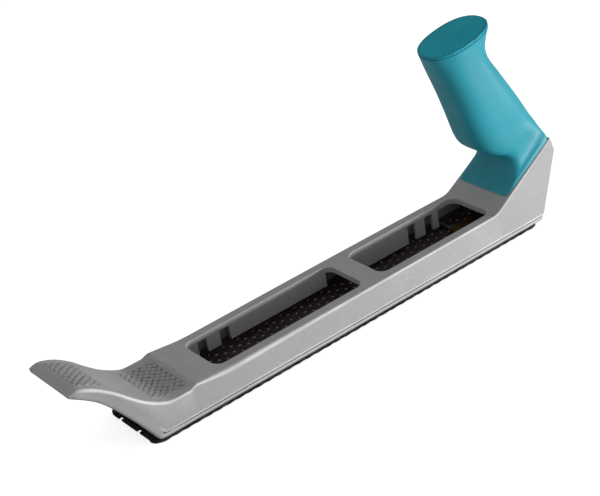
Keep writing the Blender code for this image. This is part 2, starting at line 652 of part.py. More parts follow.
def finish_parts():
    """Gives each part a material of its own."""
    for obj in PARTS.objects:
        colour, metallic, roughness = FINISHES.get(obj.name, STEEL)
        material = bpy.data.materials.new(obj.name)
        material.use_nodes = True
        shader = material.node_tree.nodes["Principled BSDF"]
        shader.inputs["Base Color"].default_value = (*colour, 1.0)
        shader.inputs["Metallic"].default_value = metallic
        shader.inputs["Roughness"].default_value = roughness
        obj.data.materials.append(material)


make_casting()
make_blade()
make_tension()
make_handle()
finish_parts()
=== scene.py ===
"""A body file in a plain studio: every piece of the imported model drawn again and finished.

Sizes are millimetres on the tool's drawing, whose X runs from the toe to the heel and whose Z starts at the
tooth tips. Layout.place brings a point of the drawing to metres in the model's frame. Of the three screws
only the heads are drawn.
"""

import logging
import math
from dataclasses import dataclass, field, replace
from enum import Enum
from typing import Callable, Iterable, Optional, Sequence

import bmesh
import bpy
from mathutils import Matrix, Vector


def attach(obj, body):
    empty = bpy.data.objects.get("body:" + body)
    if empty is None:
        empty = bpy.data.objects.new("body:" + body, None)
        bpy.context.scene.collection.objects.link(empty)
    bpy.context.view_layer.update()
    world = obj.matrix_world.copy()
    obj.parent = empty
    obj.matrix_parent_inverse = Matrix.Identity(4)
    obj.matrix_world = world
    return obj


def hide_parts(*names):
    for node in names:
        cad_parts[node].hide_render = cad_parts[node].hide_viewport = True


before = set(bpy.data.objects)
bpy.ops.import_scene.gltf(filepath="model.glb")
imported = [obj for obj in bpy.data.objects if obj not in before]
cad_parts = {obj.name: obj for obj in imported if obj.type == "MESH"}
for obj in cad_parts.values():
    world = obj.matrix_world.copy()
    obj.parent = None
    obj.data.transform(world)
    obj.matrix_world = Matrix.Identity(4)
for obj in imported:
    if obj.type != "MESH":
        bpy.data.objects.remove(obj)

LOG = logging.getLogger("body_file")
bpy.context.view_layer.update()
MM = 0.001
# Mask of a darker colour: painted shade in the toe pads' grooves and on the blade's side strips and ends, and
# the end cap's darker side band.
SHADE_AND_BAND_MASK = "groove"
# Mask of painted highlights: light lines along the cast body's rounded upper edges, its lip and its windows'
# upper edges, and glints on the blade's outermost tooth tips.
HIGHLIGHT_MASK = "painted_highlight"
SCREW_CRISP = 50.0

ALONG = Vector((1.0, 0.0, 0.0))
ACROSS = Vector((0.0, 1.0, 0.0))

Row = tuple[float, ...]
Ring = list[Vector]
Colour = tuple[int, int, int]
Socket = bpy.types.NodeSocket


class Body(Enum):
    """The bodies that pieces move with."""

    FRAME = "frame"
    BLADE = "blade"
    HOOK = "hook"
    SCREW = "screw"


class Slot(Enum):
    """The material slots of the record."""

    CAST = "cast_metal"
    TEAL = "teal_plastic"
    DARK_TEAL = "dark_teal_plastic"
    BLACK = "black_blade"
    STEEL = "bright_steel"
    ZINC = "yellow_zinc"


class Operation(Enum):
    """How a tool changes a part."""

    CUT = "DIFFERENCE"
    JOIN = "UNION"


def flat(x: float, z: float) -> Vector:
    """A point or direction in the tool's middle plane."""
    return Vector((x, 0.0, z))


@dataclass
class Layout:
    """Sizes and places that several pieces share."""

    gap: float = 0.3
    past: float = 10.0
    blade_length: float = 250.7
    blade_width: float = 41.6
    blade_front: float = -126.8
    sheet: float = 0.9
    tooth_depth: float = 0.7
    flange_height: float = 4.4
    pin_radius: float = 1.3
    pin_rise: float = 2.3
    front_pin_setback: float = 20.8
    rear_pin_setback: float = 35.3
    rim_front_setback: float = 3.2
    rim_rear_overhang: float = 1.0
    rim_rise: float = 1.0
    deck_height: float = 15.8
    deck_thickness: float = 3.0
    toe_reach: float = 37.2
    ramp_setback: float = 28.9
    ramp_angle: float = math.radians(30.6)
    ramp_length: float = 51.2
    heel_chamfer: float = 7.4
    heel_lean: float = math.radians(26.7)
    strap: float = 1.6
    strap_width: float = 14.0
    strap_rise: float = 0.4
    hook_setback: float = 10.9
    nut_size: float = 8.0
    tension_radius: float = 2.5
    tension_washer: float = 5.4
    washer_thickness: float = 1.0
    seat_depth: float = 1.0
    handle_screw_sides: tuple[tuple[str, float], ...] = (("left", -8.0), ("right", 8.0))
    handle_screw_along: float = 34.5
    handle_screw_radius: float = 2.0
    handle_screw_bite: float = 9.0
    hole_sides: int = 24

    def __post_init__(self) -> None:
        """Works out the heights, half widths and places that follow from the sizes."""
        self.sheet_top: float = self.tooth_depth + self.sheet
        self.rim_z: float = self.sheet_top + self.rim_rise
        self.deck_z: float = self.rim_z + self.deck_height
        self.pin_z: float = self.sheet_top + self.pin_rise
        self.flange_top: float = self.sheet_top + self.flange_height
        self.strap_z: float = self.pin_z + self.pin_radius + self.strap_rise
        self.nut_z: float = self.strap_z + self.strap + self.gap
        self.screw_z: float = self.nut_z + self.nut_size / 2
        self.blade_half: float = self.blade_width / 2
        self.inner_half: float = self.blade_half + self.gap
        self.blade_rear: float = self.blade_front + self.blade_length
        self.front_pin: float = self.blade_front + self.front_pin_setback
        self.rear_pin: float = self.blade_rear - self.rear_pin_setback
        self.rim_front: float = self.blade_front + self.rim_front_setback
        self.rim_rear: float = self.blade_rear + self.rim_rear_overhang
        self.hook_back: float = self.rim_rear - self.hook_setback
        self.ramp_base: float = self.rim_rear - self.ramp_setback
        self.ramp_up: Vector = flat(math.cos(self.ramp_angle), math.sin(self.ramp_angle))
        self.ramp_out: Vector = flat(-math.sin(self.ramp_angle), math.cos(self.ramp_angle))
        self.ramp_top: Vector = self.on_ramp(self.ramp_length, 0.0)
        self.heel_x: float = self.on_heel(self.ramp_top.z - self.heel_chamfer)
        self.tension_seat: float = self.on_heel(self.screw_z) - self.seat_depth
        self.shift: float = -(self.rim_front - self.toe_reach + self.heel_x) / 2

    def on_heel(self, z: float) -> float:
        """Place of the heel's face along the tool at a height."""
        return self.rim_rear + math.tan(self.heel_lean) * (z - self.rim_z)

    def on_ramp(self, along: float, out: float, y: float = 0.0) -> Vector:
        """A place on the drawing, measured from the ramp's base.

        Args:
            along: Distance up the ramp.
            out: Distance square to the ramp.
            y: Distance across.

        Returns:
            The point on the drawing.
        """
        base = Vector((self.ramp_base, y, self.deck_z))
        return base + self.ramp_up * along + self.ramp_out * out

    def place(self, point: Sequence[float]) -> Vector:
        """A drawing's point in metres in the model's frame."""
        return Vector(((point[0] + self.shift) * MM, point[1] * MM, point[2] * MM))


LAYOUT = Layout()


def smooth_step(low: float, high: float, value: float) -> float:
    """Rises gently from 0 at low to 1 at high."""
    share = min(1.0, max(0.0, (value - low) / (high - low)))
    return share * share * (3.0 - 2.0 * share)


def mix_rows(first: Row, second: Row, share: float) -> Row:
    """A row of numbers part of the way from one to another."""
    return tuple(a + (b - a) * share for a, b in zip(first, second))


def quarter(steps: int) -> list[tuple[float, float]]:
    """Sine and cosine at even steps of a quarter turn, both ends among them."""
    turns = (math.pi / 2 * step / steps for step in range(steps + 1))
    return [(math.sin(turn), math.cos(turn)) for turn in turns]


def squarish(turn: float, square: float) -> tuple[float, float]:
    """A point of a unit ring: a circle where square is 2, squarer above that."""
    c, s = math.cos(turn), math.sin(turn)
    power = 2 / square
    return math.copysign(abs(c) ** power, c), math.copysign(abs(s) ** power, s)


def mirrored(right: Ring) -> Ring:
    """A closed section from the points of its right half."""
    return right + [Vector((p.x, -p.y, p.z)) for p in reversed(right)]


def round_ring(centre: Vector, axis: Vector, radii: Sequence[float]) -> Ring:
    """Points round an axis, one for each radius.

    Args:
        centre: The point on the axis.
        axis: The axis's direction.
        radii: Distance of each point from the axis.

    Returns:
        The points, evenly turned.
    """
    across = flat(0.0, 1.0) if axis.y else ACROSS
    other = axis.cross(across)
    turns = (2 * math.pi * i / len(radii) for i in range(len(radii)))
    return [centre + (across * math.cos(t) + other * math.sin(t)) * radius for t, radius in zip(turns, radii)]


def spline(rows: Sequence[Row], steps: int) -> list[Row]:
    """Runs a smooth curve through rows of numbers.

    Args:
        rows: The rows to pass through.
        steps: Places on each span.

    Returns:
        Rows along the curve, with the given ones among them.
    """
    made = []
    for i in range(len(rows) - 1):
        before, start = rows[max(i - 1, 0)], rows[i]
        end, after = rows[i + 1], rows[min(i + 2, len(rows) - 1)]
        for step in range(steps):
            t = step / steps
            made.append(tuple(
                0.5 * (2 * b + (c - a) * t + (2 * a - 5 * b + 4 * c - d) * t * t
                       + (3 * b - a - 3 * c + d) * t ** 3)
                for a, b, c, d in zip(before, start, end, after)))
    made.append(tuple(rows[-1]))
    return made


def eased(rows: Sequence[Row], shares: Sequence[tuple[float, float]], steps: int) -> list[Row]:
    """Rounds the corners of a chain of rows.

    Args:
        rows: The chain's corners.
        shares: For each inner corner, how much of the spans before and after it the rounding takes.
        steps: Places on each rounding.

    Returns:
        Rows along the rounded chain.
    """
    made = [tuple(rows[0])]
    for i, (back, ahead) in enumerate(shares, start=1):
        start = mix_rows(rows[i], rows[i - 1], back)
        end = mix_rows(rows[i], rows[i + 1], ahead)
        for step in range(steps + 1):
            t = step / steps
            made.append(mix_rows(mix_rows(start, rows[i], t), mix_rows(rows[i], end, t), t))
    made.append(tuple(rows[-1]))
    return made


def add_object(name: str, data: bpy.types.ID) -> bpy.types.Object:
    """An object with the given data, put in the scene."""
    obj = bpy.data.objects.new(name, data)
    bpy.context.scene.collection.objects.link(obj)
    return obj


class Shape:
    """A mesh under the pencil, in millimetres on the drawing. What draws on it gives it back."""

    def __init__(self) -> None:
        """Starts with an empty mesh."""
        self.mesh = bmesh.new()

    def skin(self, rings: Sequence[Ring], joined: bool = False) -> "Shape":
        """Lays faces through rings of as many points each.

        Args:
            rings: The rings in order.
            joined: Joins the last ring to the first one, where otherwise both ends are closed flat.

        Returns:
            The shape.
        """
        rows = [[self.mesh.verts.new(point) for point in ring] for ring in rings]
        pairs = list(zip(rows, rows[1:]))
        if joined:
            pairs.append((rows[-1], rows[0]))
        count = len(rows[0])
        for row, following in pairs:
            for i in range(count):
                j = (i + 1) % count
                self.mesh.faces.new((row[i], row[j], following[j], following[i]))
        if not joined:
            self.mesh.faces.new(rows[0][::-1])
            self.mesh.faces.new(rows[-1])
        return self

    def box(self, low: Sequence[float], high: Sequence[float], corner: float = 0.0,
            segments: int = 10) -> "Shape":
        """A block, with its upright edges rounded when corner is given."""
        plan = rounded_plan(low, high, corner, segments)
        return self.skin([[Vector((x, y, z)) for x, y in plan] for z in (low[2], high[2])])

    def turned(self, start: Vector, axis: Vector, profile: Iterable[tuple[float, float]], sides: int = 40,
               joined: bool = False) -> "Shape":
        """A round form on an axis.

        Args:
            start: Where the axis starts.
            axis: Its direction.
            profile: Pairs of distance along the axis and radius.
            sides: Places round the axis.
            joined: Joins the profile's end to its start, for a ring.

        Returns:
            The shape.
        """
        rings = [round_ring(start + axis * along, axis, (radius,) * sides) for along, radius in profile]
        return self.skin(rings, joined)

    def mask(self, name: str, share: Callable[[int, Vector], float]) -> "Shape":
        """Marks every vertex with a share that a finish can read.

        Args:
            name: The mask's name.
            share: Gives a vertex's share from its number and place.

        Returns:
            The shape.
        """
        layer = self.mesh.verts.layers.float.new(name)
        for i, vertex in enumerate(self.mesh.verts):
            vertex[layer] = share(i, vertex.co)
        return self

    def to_object(self, name: str) -> bpy.types.Object:
        """An object in the model's frame from the drawn mesh."""
        bmesh.ops.recalc_face_normals(self.mesh, faces=self.mesh.faces)
        for vertex in self.mesh.verts:
            vertex.co = LAYOUT.place(vertex.co)
        data = bpy.data.meshes.new(name)
        self.mesh.to_mesh(data)
        self.mesh.free()
        return add_object(name, data)


def rounded_plan(low: Sequence[float], high: Sequence[float], corner: float,
                 segments: int) -> list[tuple[float, float]]:
    """The outline of a rectangle with round corners.

    Args:
        low: Its lowest x and y.
        high: Its highest x and y.
        corner: Radius of the corners.
        segments: Faces on each corner.

    Returns:
        Points round the outline.
    """
    corners = ((high[0], high[1], 0), (low[0], high[1], 1), (low[0], low[1], 2), (high[0], low[1], 3))
    if not corner:
        return [(x, y) for x, y, _ in corners]
    points = []
    for x, y, quarter in corners:
        middle_x = x - math.copysign(corner, x - (low[0] + high[0]) / 2)
        middle_y = y - math.copysign(corner, y - (low[1] + high[1]) / 2)
        for step in range(segments + 1):
            turn = math.pi / 2 * (quarter + step / segments)
            points.append((middle_x + corner * math.cos(turn), middle_y + corner * math.sin(turn)))
    return points


def carve(part: bpy.types.Object, steps: Sequence[tuple[Operation, Shape]]) -> None:
    """Cuts and joins tools on a part, in order, and takes the tools away.

    Args:
        part: The object that is changed.
        steps: Each operation and the drawn tool.
    """
    tools = []
    for i, (operation, shape) in enumerate(steps):
        tool = shape.to_object(f"{part.name}_tool_{i}")
        modifier = part.modifiers.new(tool.name, "BOOLEAN")
        modifier.operation = operation.value
        modifier.solver = "EXACT"
        modifier.object = tool
        tools.append(tool)
    shaped = part.evaluated_get(bpy.context.evaluated_depsgraph_get())
    before = part.data
    data = bpy.data.meshes.new_from_object(shaped)
    part.modifiers.clear()
    part.data = data
    data.name = part.name
    bpy.data.meshes.remove(before)
    for tool in tools:
        mesh = tool.data
        bpy.data.objects.remove(tool)
        bpy.data.meshes.remove(mesh)


# Shader node groups and finishes

# Values that each effect starts and ends at
CLOUD_LEVELS = (0.3, 0.7)
MOTTLE_LEVELS = (0.34, 0.66)
EDGE_LEVELS = (0.995, 0.86)
PATCH_LEVELS = (0.38, 0.62)
MARK_LEVELS = (0.6, 0.72)
ZONE_LEVELS = (0.45, 0.65)
CREVICE_SHADE_LEVELS = (0.8, 0.35)
SHADE_AND_BAND_LEVELS = (0.0, 0.8)
# Clouds for each metre in the zones that have scuff marks, and how those marks are drawn out along the tool
ZONE_SCALE = 45.0
MARK_STRETCH = (0.12, 1.0, 1.0)
EFFECT_SAMPLES = 6
# Sockets of the mixing node that take and give colours
MIX_COLOURS = (6, 7)
MIX_RESULT = 2


def linear(colour: Colour) -> tuple[float, ...]:
    """A colour as a screen shows it, in the light units that shaders take, with full cover."""
    shares = (value / 255 for value in colour)
    return (*(s / 12.92 if s <= 0.04045 else ((s + 0.055) / 1.055) ** 2.4 for s in shares), 1.0)


class NodeSheet:
    """A node tree being wired."""

    def __init__(self, tree: bpy.types.NodeTree) -> None:
        """Takes the tree to wire."""
        self.tree = tree

    def node(self, kind: str, **values: object) -> bpy.types.Node:
        """Adds a node.

        Args:
            kind: The node's type.
            values: Properties to set on it.

        Returns:
            The node.
        """
        made = self.tree.nodes.new(kind)
        for name, value in values.items():
            setattr(made, name, value)
        return made

    def wire(self, source: Socket, target: Socket) -> None:
        """Links an output to an input."""
        self.tree.links.new(source, target)

    def feed(self, node: bpy.types.Node, name: object, value: object) -> None:
        """Links a socket or sets a value on an input.

        Args:
            node: The node.
            name: The input's name or number.
            value: A socket to link, or a plain value.
        """
        if isinstance(value, Socket):
            self.wire(value, node.inputs[name])
        else:
            node.inputs[name].default_value = value

    def maths(self, operation: str, *values: object) -> Socket:
        """The result of a sum on values.

        Args:
            operation: The kind of sum.
            values: Its numbers or sockets.

        Returns:
            The result's socket.
        """
        made = self.node("ShaderNodeMath", operation=operation)
        for i, value in enumerate(values):
            self.feed(made, i, value)
        return made.outputs[0]

    def spread(self, value: object, low: float, high: float, to_low: object = 0.0,
               to_high: object = 1.0) -> Socket:
        """A value brought from one range to another and held there.

        Args:
            value: The socket to bring over.
            low: Start of its range.
            high: End of its range.
            to_low: Start of the new range, a number or a socket.
            to_high: End of the new range, a number or a socket.

        Returns:
            The result's socket.
        """
        made = self.node("ShaderNodeMapRange", interpolation_type="SMOOTHSTEP")
        for i, number in enumerate((value, low, high, to_low, to_high)):
            self.feed(made, i, number)
        return made.outputs[0]

    def tint(self, share: object, first: object, second: object) -> Socket:
        """A colour mixed from two.

        Args:
            share: How much of the second colour there is.
            first: The first colour or socket.
            second: The second one.

        Returns:
            The mixed colour's socket.
        """
        made = self.node("ShaderNodeMix", data_type="RGBA")
        self.feed(made, 0, share)
        for i, colour in zip(MIX_COLOURS, (first, second)):
            self.feed(made, i, linear(colour) if isinstance(colour, tuple) else colour)
        return made.outputs[MIX_RESULT]

    def noise(self, where: Socket, scale: object, detail: float = 3.0,
              rough: float = 0.55) -> Socket:
        """Cloudy values over the surface.

        Args:
            where: The coordinates.
            scale: Clouds for each metre.
            detail: How many finer layers there are.
            rough: How strong the finer layers are.

        Returns:
            The value's socket.
        """
        made = self.node("ShaderNodeTexNoise")
        for name, value in (("Vector", where), ("Scale", scale), ("Detail", detail), ("Roughness", rough)):
            self.feed(made, name, value)
        return made.outputs[0]


@dataclass(frozen=True)
class Effect:
    """A shared effect: a node group that is built once."""

    name: str
    inputs: tuple[tuple[str, float], ...]
    outputs: tuple[str, ...]
    wire: Callable[[NodeSheet, bpy.types.Node, bpy.types.Node], None]

    def tree(self) -> bpy.types.NodeTree:
        """The effect's node group, made on first use.

        Returns:
            The group.
        """
        found = bpy.data.node_groups.get(self.name)
        if found:
            return found
        tree = bpy.data.node_groups.new(self.name, "ShaderNodeTree")
        for name, value in self.inputs:
            socket = tree.interface.new_socket(name, in_out="INPUT", socket_type="NodeSocketFloat")
            socket.default_value = value
        for name in self.outputs:
            tree.interface.new_socket(name, in_out="OUTPUT", socket_type="NodeSocketFloat")
        sheet = NodeSheet(tree)
        self.wire(sheet, sheet.node("NodeGroupInput"), sheet.node("NodeGroupOutput"))
        return tree

    def put(self, sheet: NodeSheet, **values: float) -> bpy.types.Node:
        """Places the effect in a material.

        Args:
            sheet: The material's nodes.
            values: The effect's own inputs, with spaces in their names written as underscores.

        Returns:
            The placed node.
        """
        made = sheet.node("ShaderNodeGroup", node_tree=self.tree())
        for name, value in values.items():
            made.inputs[name.replace("_", " ").capitalize()].default_value = value
        return made


def wire_grain(sheet: NodeSheet, given: bpy.types.Node, result: bpy.types.Node) -> None:
    """Fine grain, a coarser mottle and slow clouds under them.

    Args:
        sheet: The group's nodes.
        given: The group's inputs.
        result: The group's outputs.
    """
    where = sheet.node("ShaderNodeTexCoord").outputs["Object"]
    clouds = sheet.noise(where, given.outputs["Cloud scale"], detail=4.0)
    mottle = sheet.noise(where, given.outputs["Mottle scale"], rough=0.6)
    grain = sheet.noise(where, given.outputs["Grain scale"], detail=2.0, rough=0.65)
    sheet.wire(sheet.spread(clouds, *CLOUD_LEVELS), result.inputs["Clouds"])
    sheet.wire(sheet.spread(mottle, *MOTTLE_LEVELS), result.inputs["Mottle"])
    sheet.wire(grain, result.inputs["Grain"])


def wire_edges(sheet: NodeSheet, given: bpy.types.Node, result: bpy.types.Node) -> None:
    """Lighter rounded edges, broken up by a patchy noise: edge wear, and on the cast body a painted
    highlight.

    Args:
        sheet: The group's nodes.
        given: The group's inputs.
        result: The group's outputs.
    """
    where = sheet.node("ShaderNodeTexCoord").outputs["Object"]
    rounded = sheet.node("ShaderNodeBevel", samples=EFFECT_SAMPLES)
    sheet.wire(given.outputs["Width"], rounded.inputs["Radius"])
    surface = sheet.node("ShaderNodeNewGeometry")
    likeness = sheet.node("ShaderNodeVectorMath", operation="DOT_PRODUCT")
    sheet.wire(rounded.outputs[0], likeness.inputs[0])
    sheet.wire(surface.outputs["Normal"], likeness.inputs[1])
    edge = sheet.spread(likeness.outputs["Value"], *EDGE_LEVELS)
    clouds = sheet.noise(where, given.outputs["Patch scale"], detail=4.0)
    patches = sheet.spread(clouds, *PATCH_LEVELS, given.outputs["Patch low"])
    sheet.wire(sheet.maths("MULTIPLY", edge, patches), result.inputs["Wear and highlight"])


def wire_scuffs(sheet: NodeSheet, given: bpy.types.Node, result: bpy.types.Node) -> None:
    """Thin scuff marks that run along the tool.

    Args:
        sheet: The group's nodes.
        given: The group's inputs.
        result: The group's outputs.
    """
    where = sheet.node("ShaderNodeTexCoord").outputs["Object"]
    drawn = sheet.node("ShaderNodeVectorMath", operation="MULTIPLY")
    sheet.feed(drawn, 0, where)
    sheet.feed(drawn, 1, MARK_STRETCH)
    marks = sheet.noise(drawn.outputs[0], given.outputs["Mark scale"], detail=2.0, rough=0.7)
    zones = sheet.noise(where, ZONE_SCALE, detail=2.0)
    thin = sheet.spread(marks, *MARK_LEVELS)
    patches = sheet.spread(zones, *ZONE_LEVELS)
    sheet.wire(sheet.maths("MULTIPLY", thin, patches), result.inputs["Marks"])


def wire_crevices(sheet: NodeSheet, given: bpy.types.Node, result: bpy.types.Node) -> None:
    """Painted shade in grooves and inner corners, darker where the surface is closed in.

    Args:
        sheet: The group's nodes.
        given: The group's inputs.
        result: The group's outputs.
    """
    closed = sheet.node("ShaderNodeAmbientOcclusion", samples=EFFECT_SAMPLES, only_local=True)
    sheet.wire(given.outputs["Reach"], closed.inputs["Distance"])
    sheet.wire(sheet.spread(closed.outputs["AO"], *CREVICE_SHADE_LEVELS), result.inputs["Crevice shade"])


GRAIN = Effect("surface_grain", (("Cloud scale", 60.0), ("Mottle scale", 450.0), ("Grain scale", 2500.0)),
               ("Clouds", "Mottle", "Grain"), wire_grain)
EDGES = Effect("worn_and_highlit_edges", (("Width", 0.0006), ("Patch scale", 300.0), ("Patch low", 0.15)), ("Wear and highlight",),
               wire_edges)
CREVICE_SHADE = Effect("painted_crevice_shade", (("Reach", 0.0012),), ("Crevice shade",), wire_crevices)
SCUFFS = Effect("rub_marks", (("Mark scale", 900.0),), ("Marks",), wire_scuffs)


@dataclass(frozen=True)
class Finish:
    """A surface finish: a base colour with grain, clouds, scuff marks, edge wear, painted highlights, painted
    shade in crevices and a darker masked colour.

    Colours are as a screen shows them. Scales are clouds for each metre, depths and widths are metres.
    """

    name: str
    colour: Colour
    cloud_colour: Colour
    worn_and_highlight_colour: Colour
    metallic: float
    roughness: tuple[float, float]
    specular: float = 0.5
    cloud_scale: float = 60.0
    grain_scale: float = 2500.0
    grain_depth: float = 0.00002
    edge_width: float = 0.0006
    edge_strength: float = 0.5
    edge_patch: float = 0.15
    mark_strength: float = 0.2
    mottle_colour: Optional[Colour] = None
    mottle_scale: float = 450.0
    crevice_shade_colour: Optional[Colour] = None
    shade_and_band_colour: Optional[Colour] = None
    highlight_strength: float = 0.0
    highlight_low: float = 0.7
    mottle_share: float = 0.7
    shade_and_band_low: float = 0.35
    mark_rough: float = 0.12

    def material(self) -> bpy.types.Material:
        """The finish as a material, made on first use.

        Returns:
            The material.
        """
        found = bpy.data.materials.get(self.name)
        if found:
            return found
        material = bpy.data.materials.new(self.name)
        material.use_nodes = True
        sheet = NodeSheet(material.node_tree)
        grain = GRAIN.put(sheet, cloud_scale=self.cloud_scale, mottle_scale=self.mottle_scale,
                          grain_scale=self.grain_scale)
        marked = sheet.maths("MULTIPLY", SCUFFS.put(sheet).outputs["Marks"], self.mark_strength)
        low, high = self.roughness
        rough = sheet.spread(grain.outputs["Clouds"], 0.0, 1.0, low, high)
        bump = sheet.node("ShaderNodeBump")
        sheet.feed(bump, "Distance", self.grain_depth)
        sheet.feed(bump, "Strength", 1.0)
        sheet.feed(bump, "Height", grain.outputs["Grain"])
        given = {
            "Base Color": self.colours(sheet, grain, marked),
            "Roughness": sheet.maths("MULTIPLY_ADD", marked, self.mark_rough, rough),
            "Normal": bump.outputs[0],
            "Metallic": self.metallic,
            "Specular IOR Level": self.specular,
        }
        for name, value in given.items():
            sheet.feed(material.node_tree.nodes["Principled BSDF"], name, value)
        return material

    def colours(self, sheet: NodeSheet, grain: bpy.types.Node, marked: Socket) -> Socket:
        """The colour over the surface: clouded and mottled, light where it is worn and where highlights are
        painted, with painted shade in its crevices and a darker colour under its shade-and-band mask.

        Args:
            sheet: The material's nodes.
            grain: The placed grain effect.
            marked: Strength of the scuff marks.

        Returns:
            The colour's socket.
        """
        edges = EDGES.put(sheet, width=self.edge_width, patch_low=self.edge_patch)
        colour = sheet.tint(grain.outputs["Clouds"], self.colour, self.cloud_colour)
        if self.mottle_colour:
            spots = sheet.maths("MULTIPLY", grain.outputs["Mottle"], self.mottle_share)
            colour = sheet.tint(spots, colour, self.mottle_colour)
        # Edge wear, and on the cast body a painted highlight along its rounded edges.
        wear_and_shine = sheet.maths("MULTIPLY", edges.outputs["Wear and highlight"], self.edge_strength)
        worn_and_lit = sheet.maths("MAXIMUM", wear_and_shine, marked)
        # Painted highlights where the mesh's highlight mask is set.
        if self.highlight_strength:
            highlighted = sheet.node("ShaderNodeAttribute", attribute_name=HIGHLIGHT_MASK).outputs["Fac"]
            low = self.highlight_strength * self.highlight_low
            uneven = sheet.spread(grain.outputs["Clouds"], 0.0, 1.0, self.highlight_strength, low)
            worn_and_lit = sheet.maths("MAXIMUM", worn_and_lit, sheet.maths("MULTIPLY", highlighted, uneven))
        colour = sheet.tint(worn_and_lit, colour, self.worn_and_highlight_colour)
        # Painted shade in crevices.
        if self.crevice_shade_colour:
            colour = sheet.tint(CREVICE_SHADE.put(sheet).outputs["Crevice shade"], colour, self.crevice_shade_colour)
        # A darker colour under the shade-and-band mask: painted shade in grooves and on the blade's sides,
        # and the end cap's side band.
        if self.shade_and_band_colour:
            mask = sheet.node("ShaderNodeAttribute", attribute_name=SHADE_AND_BAND_MASK).outputs["Fac"]
            broken = sheet.spread(grain.outputs["Mottle"], *SHADE_AND_BAND_LEVELS, 1.0, self.shade_and_band_low)
            colour = sheet.tint(sheet.maths("MULTIPLY", mask, broken), colour, self.shade_and_band_colour)
        return colour


# The cast body: its light edge colour is a painted highlight along rounded edges, its lip and its windows,
# and its crevice colour is painted shade.
CAST_LACQUER = Finish("cast_lacquer", (169, 169, 169), (164, 164, 164), (240, 240, 239), 0.0, (0.42, 0.52),
                      specular=0.25, grain_scale=1700.0, grain_depth=0.00003, edge_width=0.0007,
                      edge_patch=0.4, mottle_colour=(160, 160, 161), highlight_strength=0.9,
                      crevice_shade_colour=(96, 96, 97))
# The toe pads: a darker colour in their grooves, painted shade, and a faint painted highlight on their edges.
CAST_HATCH = replace(CAST_LACQUER, name="cast_hatch", edge_strength=0.1, crevice_shade_colour=None, highlight_strength=0.0,
                     shade_and_band_colour=(96, 96, 97))
TEAL_GRIP = Finish("teal_grip", (38, 148, 165), (32, 141, 157), (104, 180, 194), 0.0, (0.4, 0.48),
                   specular=0.34, cloud_scale=40.0, grain_scale=2200.0, grain_depth=0.000016,
                   edge_strength=0.15, mark_strength=0.08)
# The end cap's colour is lighter than the grip's: painted light that makes up for the little lamp light its
# top gets.
LIGHTENED_TEAL_CAP = Finish("teal_cap_painted_light", (32, 166, 186), (28, 158, 177), (90, 180, 192), 0.0, (0.5, 0.6), specular=0.08,
                  cloud_scale=40.0, grain_scale=2200.0, edge_strength=0.0, mark_strength=0.06,
                  shade_and_band_colour=(46, 128, 143))
# Lighter than black paint: painted light for the sheet seen in the casting's shade. Its side strips and ends
# go near black with painted shade, and the outermost tooth tips take painted glints.
BLACK_BLADE = Finish("black_blade_paint", (74, 61, 65), (64, 53, 57), (224, 214, 214), 0.0, (0.5, 0.62),
                     specular=0.1, grain_scale=1500.0, edge_width=0.0003, edge_strength=0.04,
                     mark_strength=0.04, highlight_strength=1.0, shade_and_band_colour=(16, 16, 17))
PLATED_STEEL = Finish("plated_steel", (172, 173, 176), (150, 151, 155), (205, 205, 206), 1.0, (0.28, 0.45),
                      grain_scale=3000.0, grain_depth=0.00001, edge_width=0.0003)
# Yellow zinc drawn dark brown: painted shade for the hook, which sits in the casting's shadow.
SHADED_ZINC_PLATING = Finish("zinc_plating_painted_shade", (66, 47, 21), (55, 41, 21), (90, 72, 45), 0.3, (0.5, 0.65),
                      specular=0.15, cloud_scale=150.0, edge_width=0.0004)


@dataclass(frozen=True)
class Piece:
    """A piece of the model: its body, material slot and finish, and the solid it stands for.

    Edges sharper than crisp, in degrees, stay crisp.
    """

    name: str
    body: Body
    slot: Slot
    finish: Finish
    node: Optional[str] = None
    crisp: float = 32.0

    def make(self, shape: Shape, steps: Sequence[tuple[Operation, Shape]] = ()) -> None:
        """Makes the piece from its drawing, smooths and finishes it and puts it on its body.

        Args:
            shape: The drawn mesh.
            steps: Tools that cut it or are joined to it, in order.
        """
        obj = shape.to_object(self.name)
        if steps:
            carve(obj, steps)
        data = obj.data
        data.materials.clear()
        data.materials.append(self.finish.material())
        data.shade_smooth()
        data.set_sharp_from_angle(angle=math.radians(self.crisp))
        weighted = obj.modifiers.new("flat_faces_lead", "WEIGHTED_NORMAL")
        weighted.keep_sharp = True
        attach(obj, self.body.value)
        if self.node:
            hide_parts(self.node)
        LOG.info("%s: %d faces on %s", obj.name, len(data.polygons), self.body.value)


def handle_screw_holes(low: float, high: float) -> list[tuple[Operation, Shape]]:
    """Cutters for the handle screws' holes.

    Args:
        low: Where a hole starts, above the ramp.
        high: Where it ends.

    Returns:
        Operations with their tools.
    """
    radius = LAYOUT.handle_screw_radius + LAYOUT.gap
    steps = []
    for _, side in LAYOUT.handle_screw_sides:
        place = LAYOUT.on_ramp(LAYOUT.handle_screw_along, 0.0, side)
        tool = Shape().turned(place, LAYOUT.ramp_out, ((low, radius), (high, radius)), LAYOUT.hole_sides)
        steps.append((Operation.CUT, tool))
    return steps


# Body casting


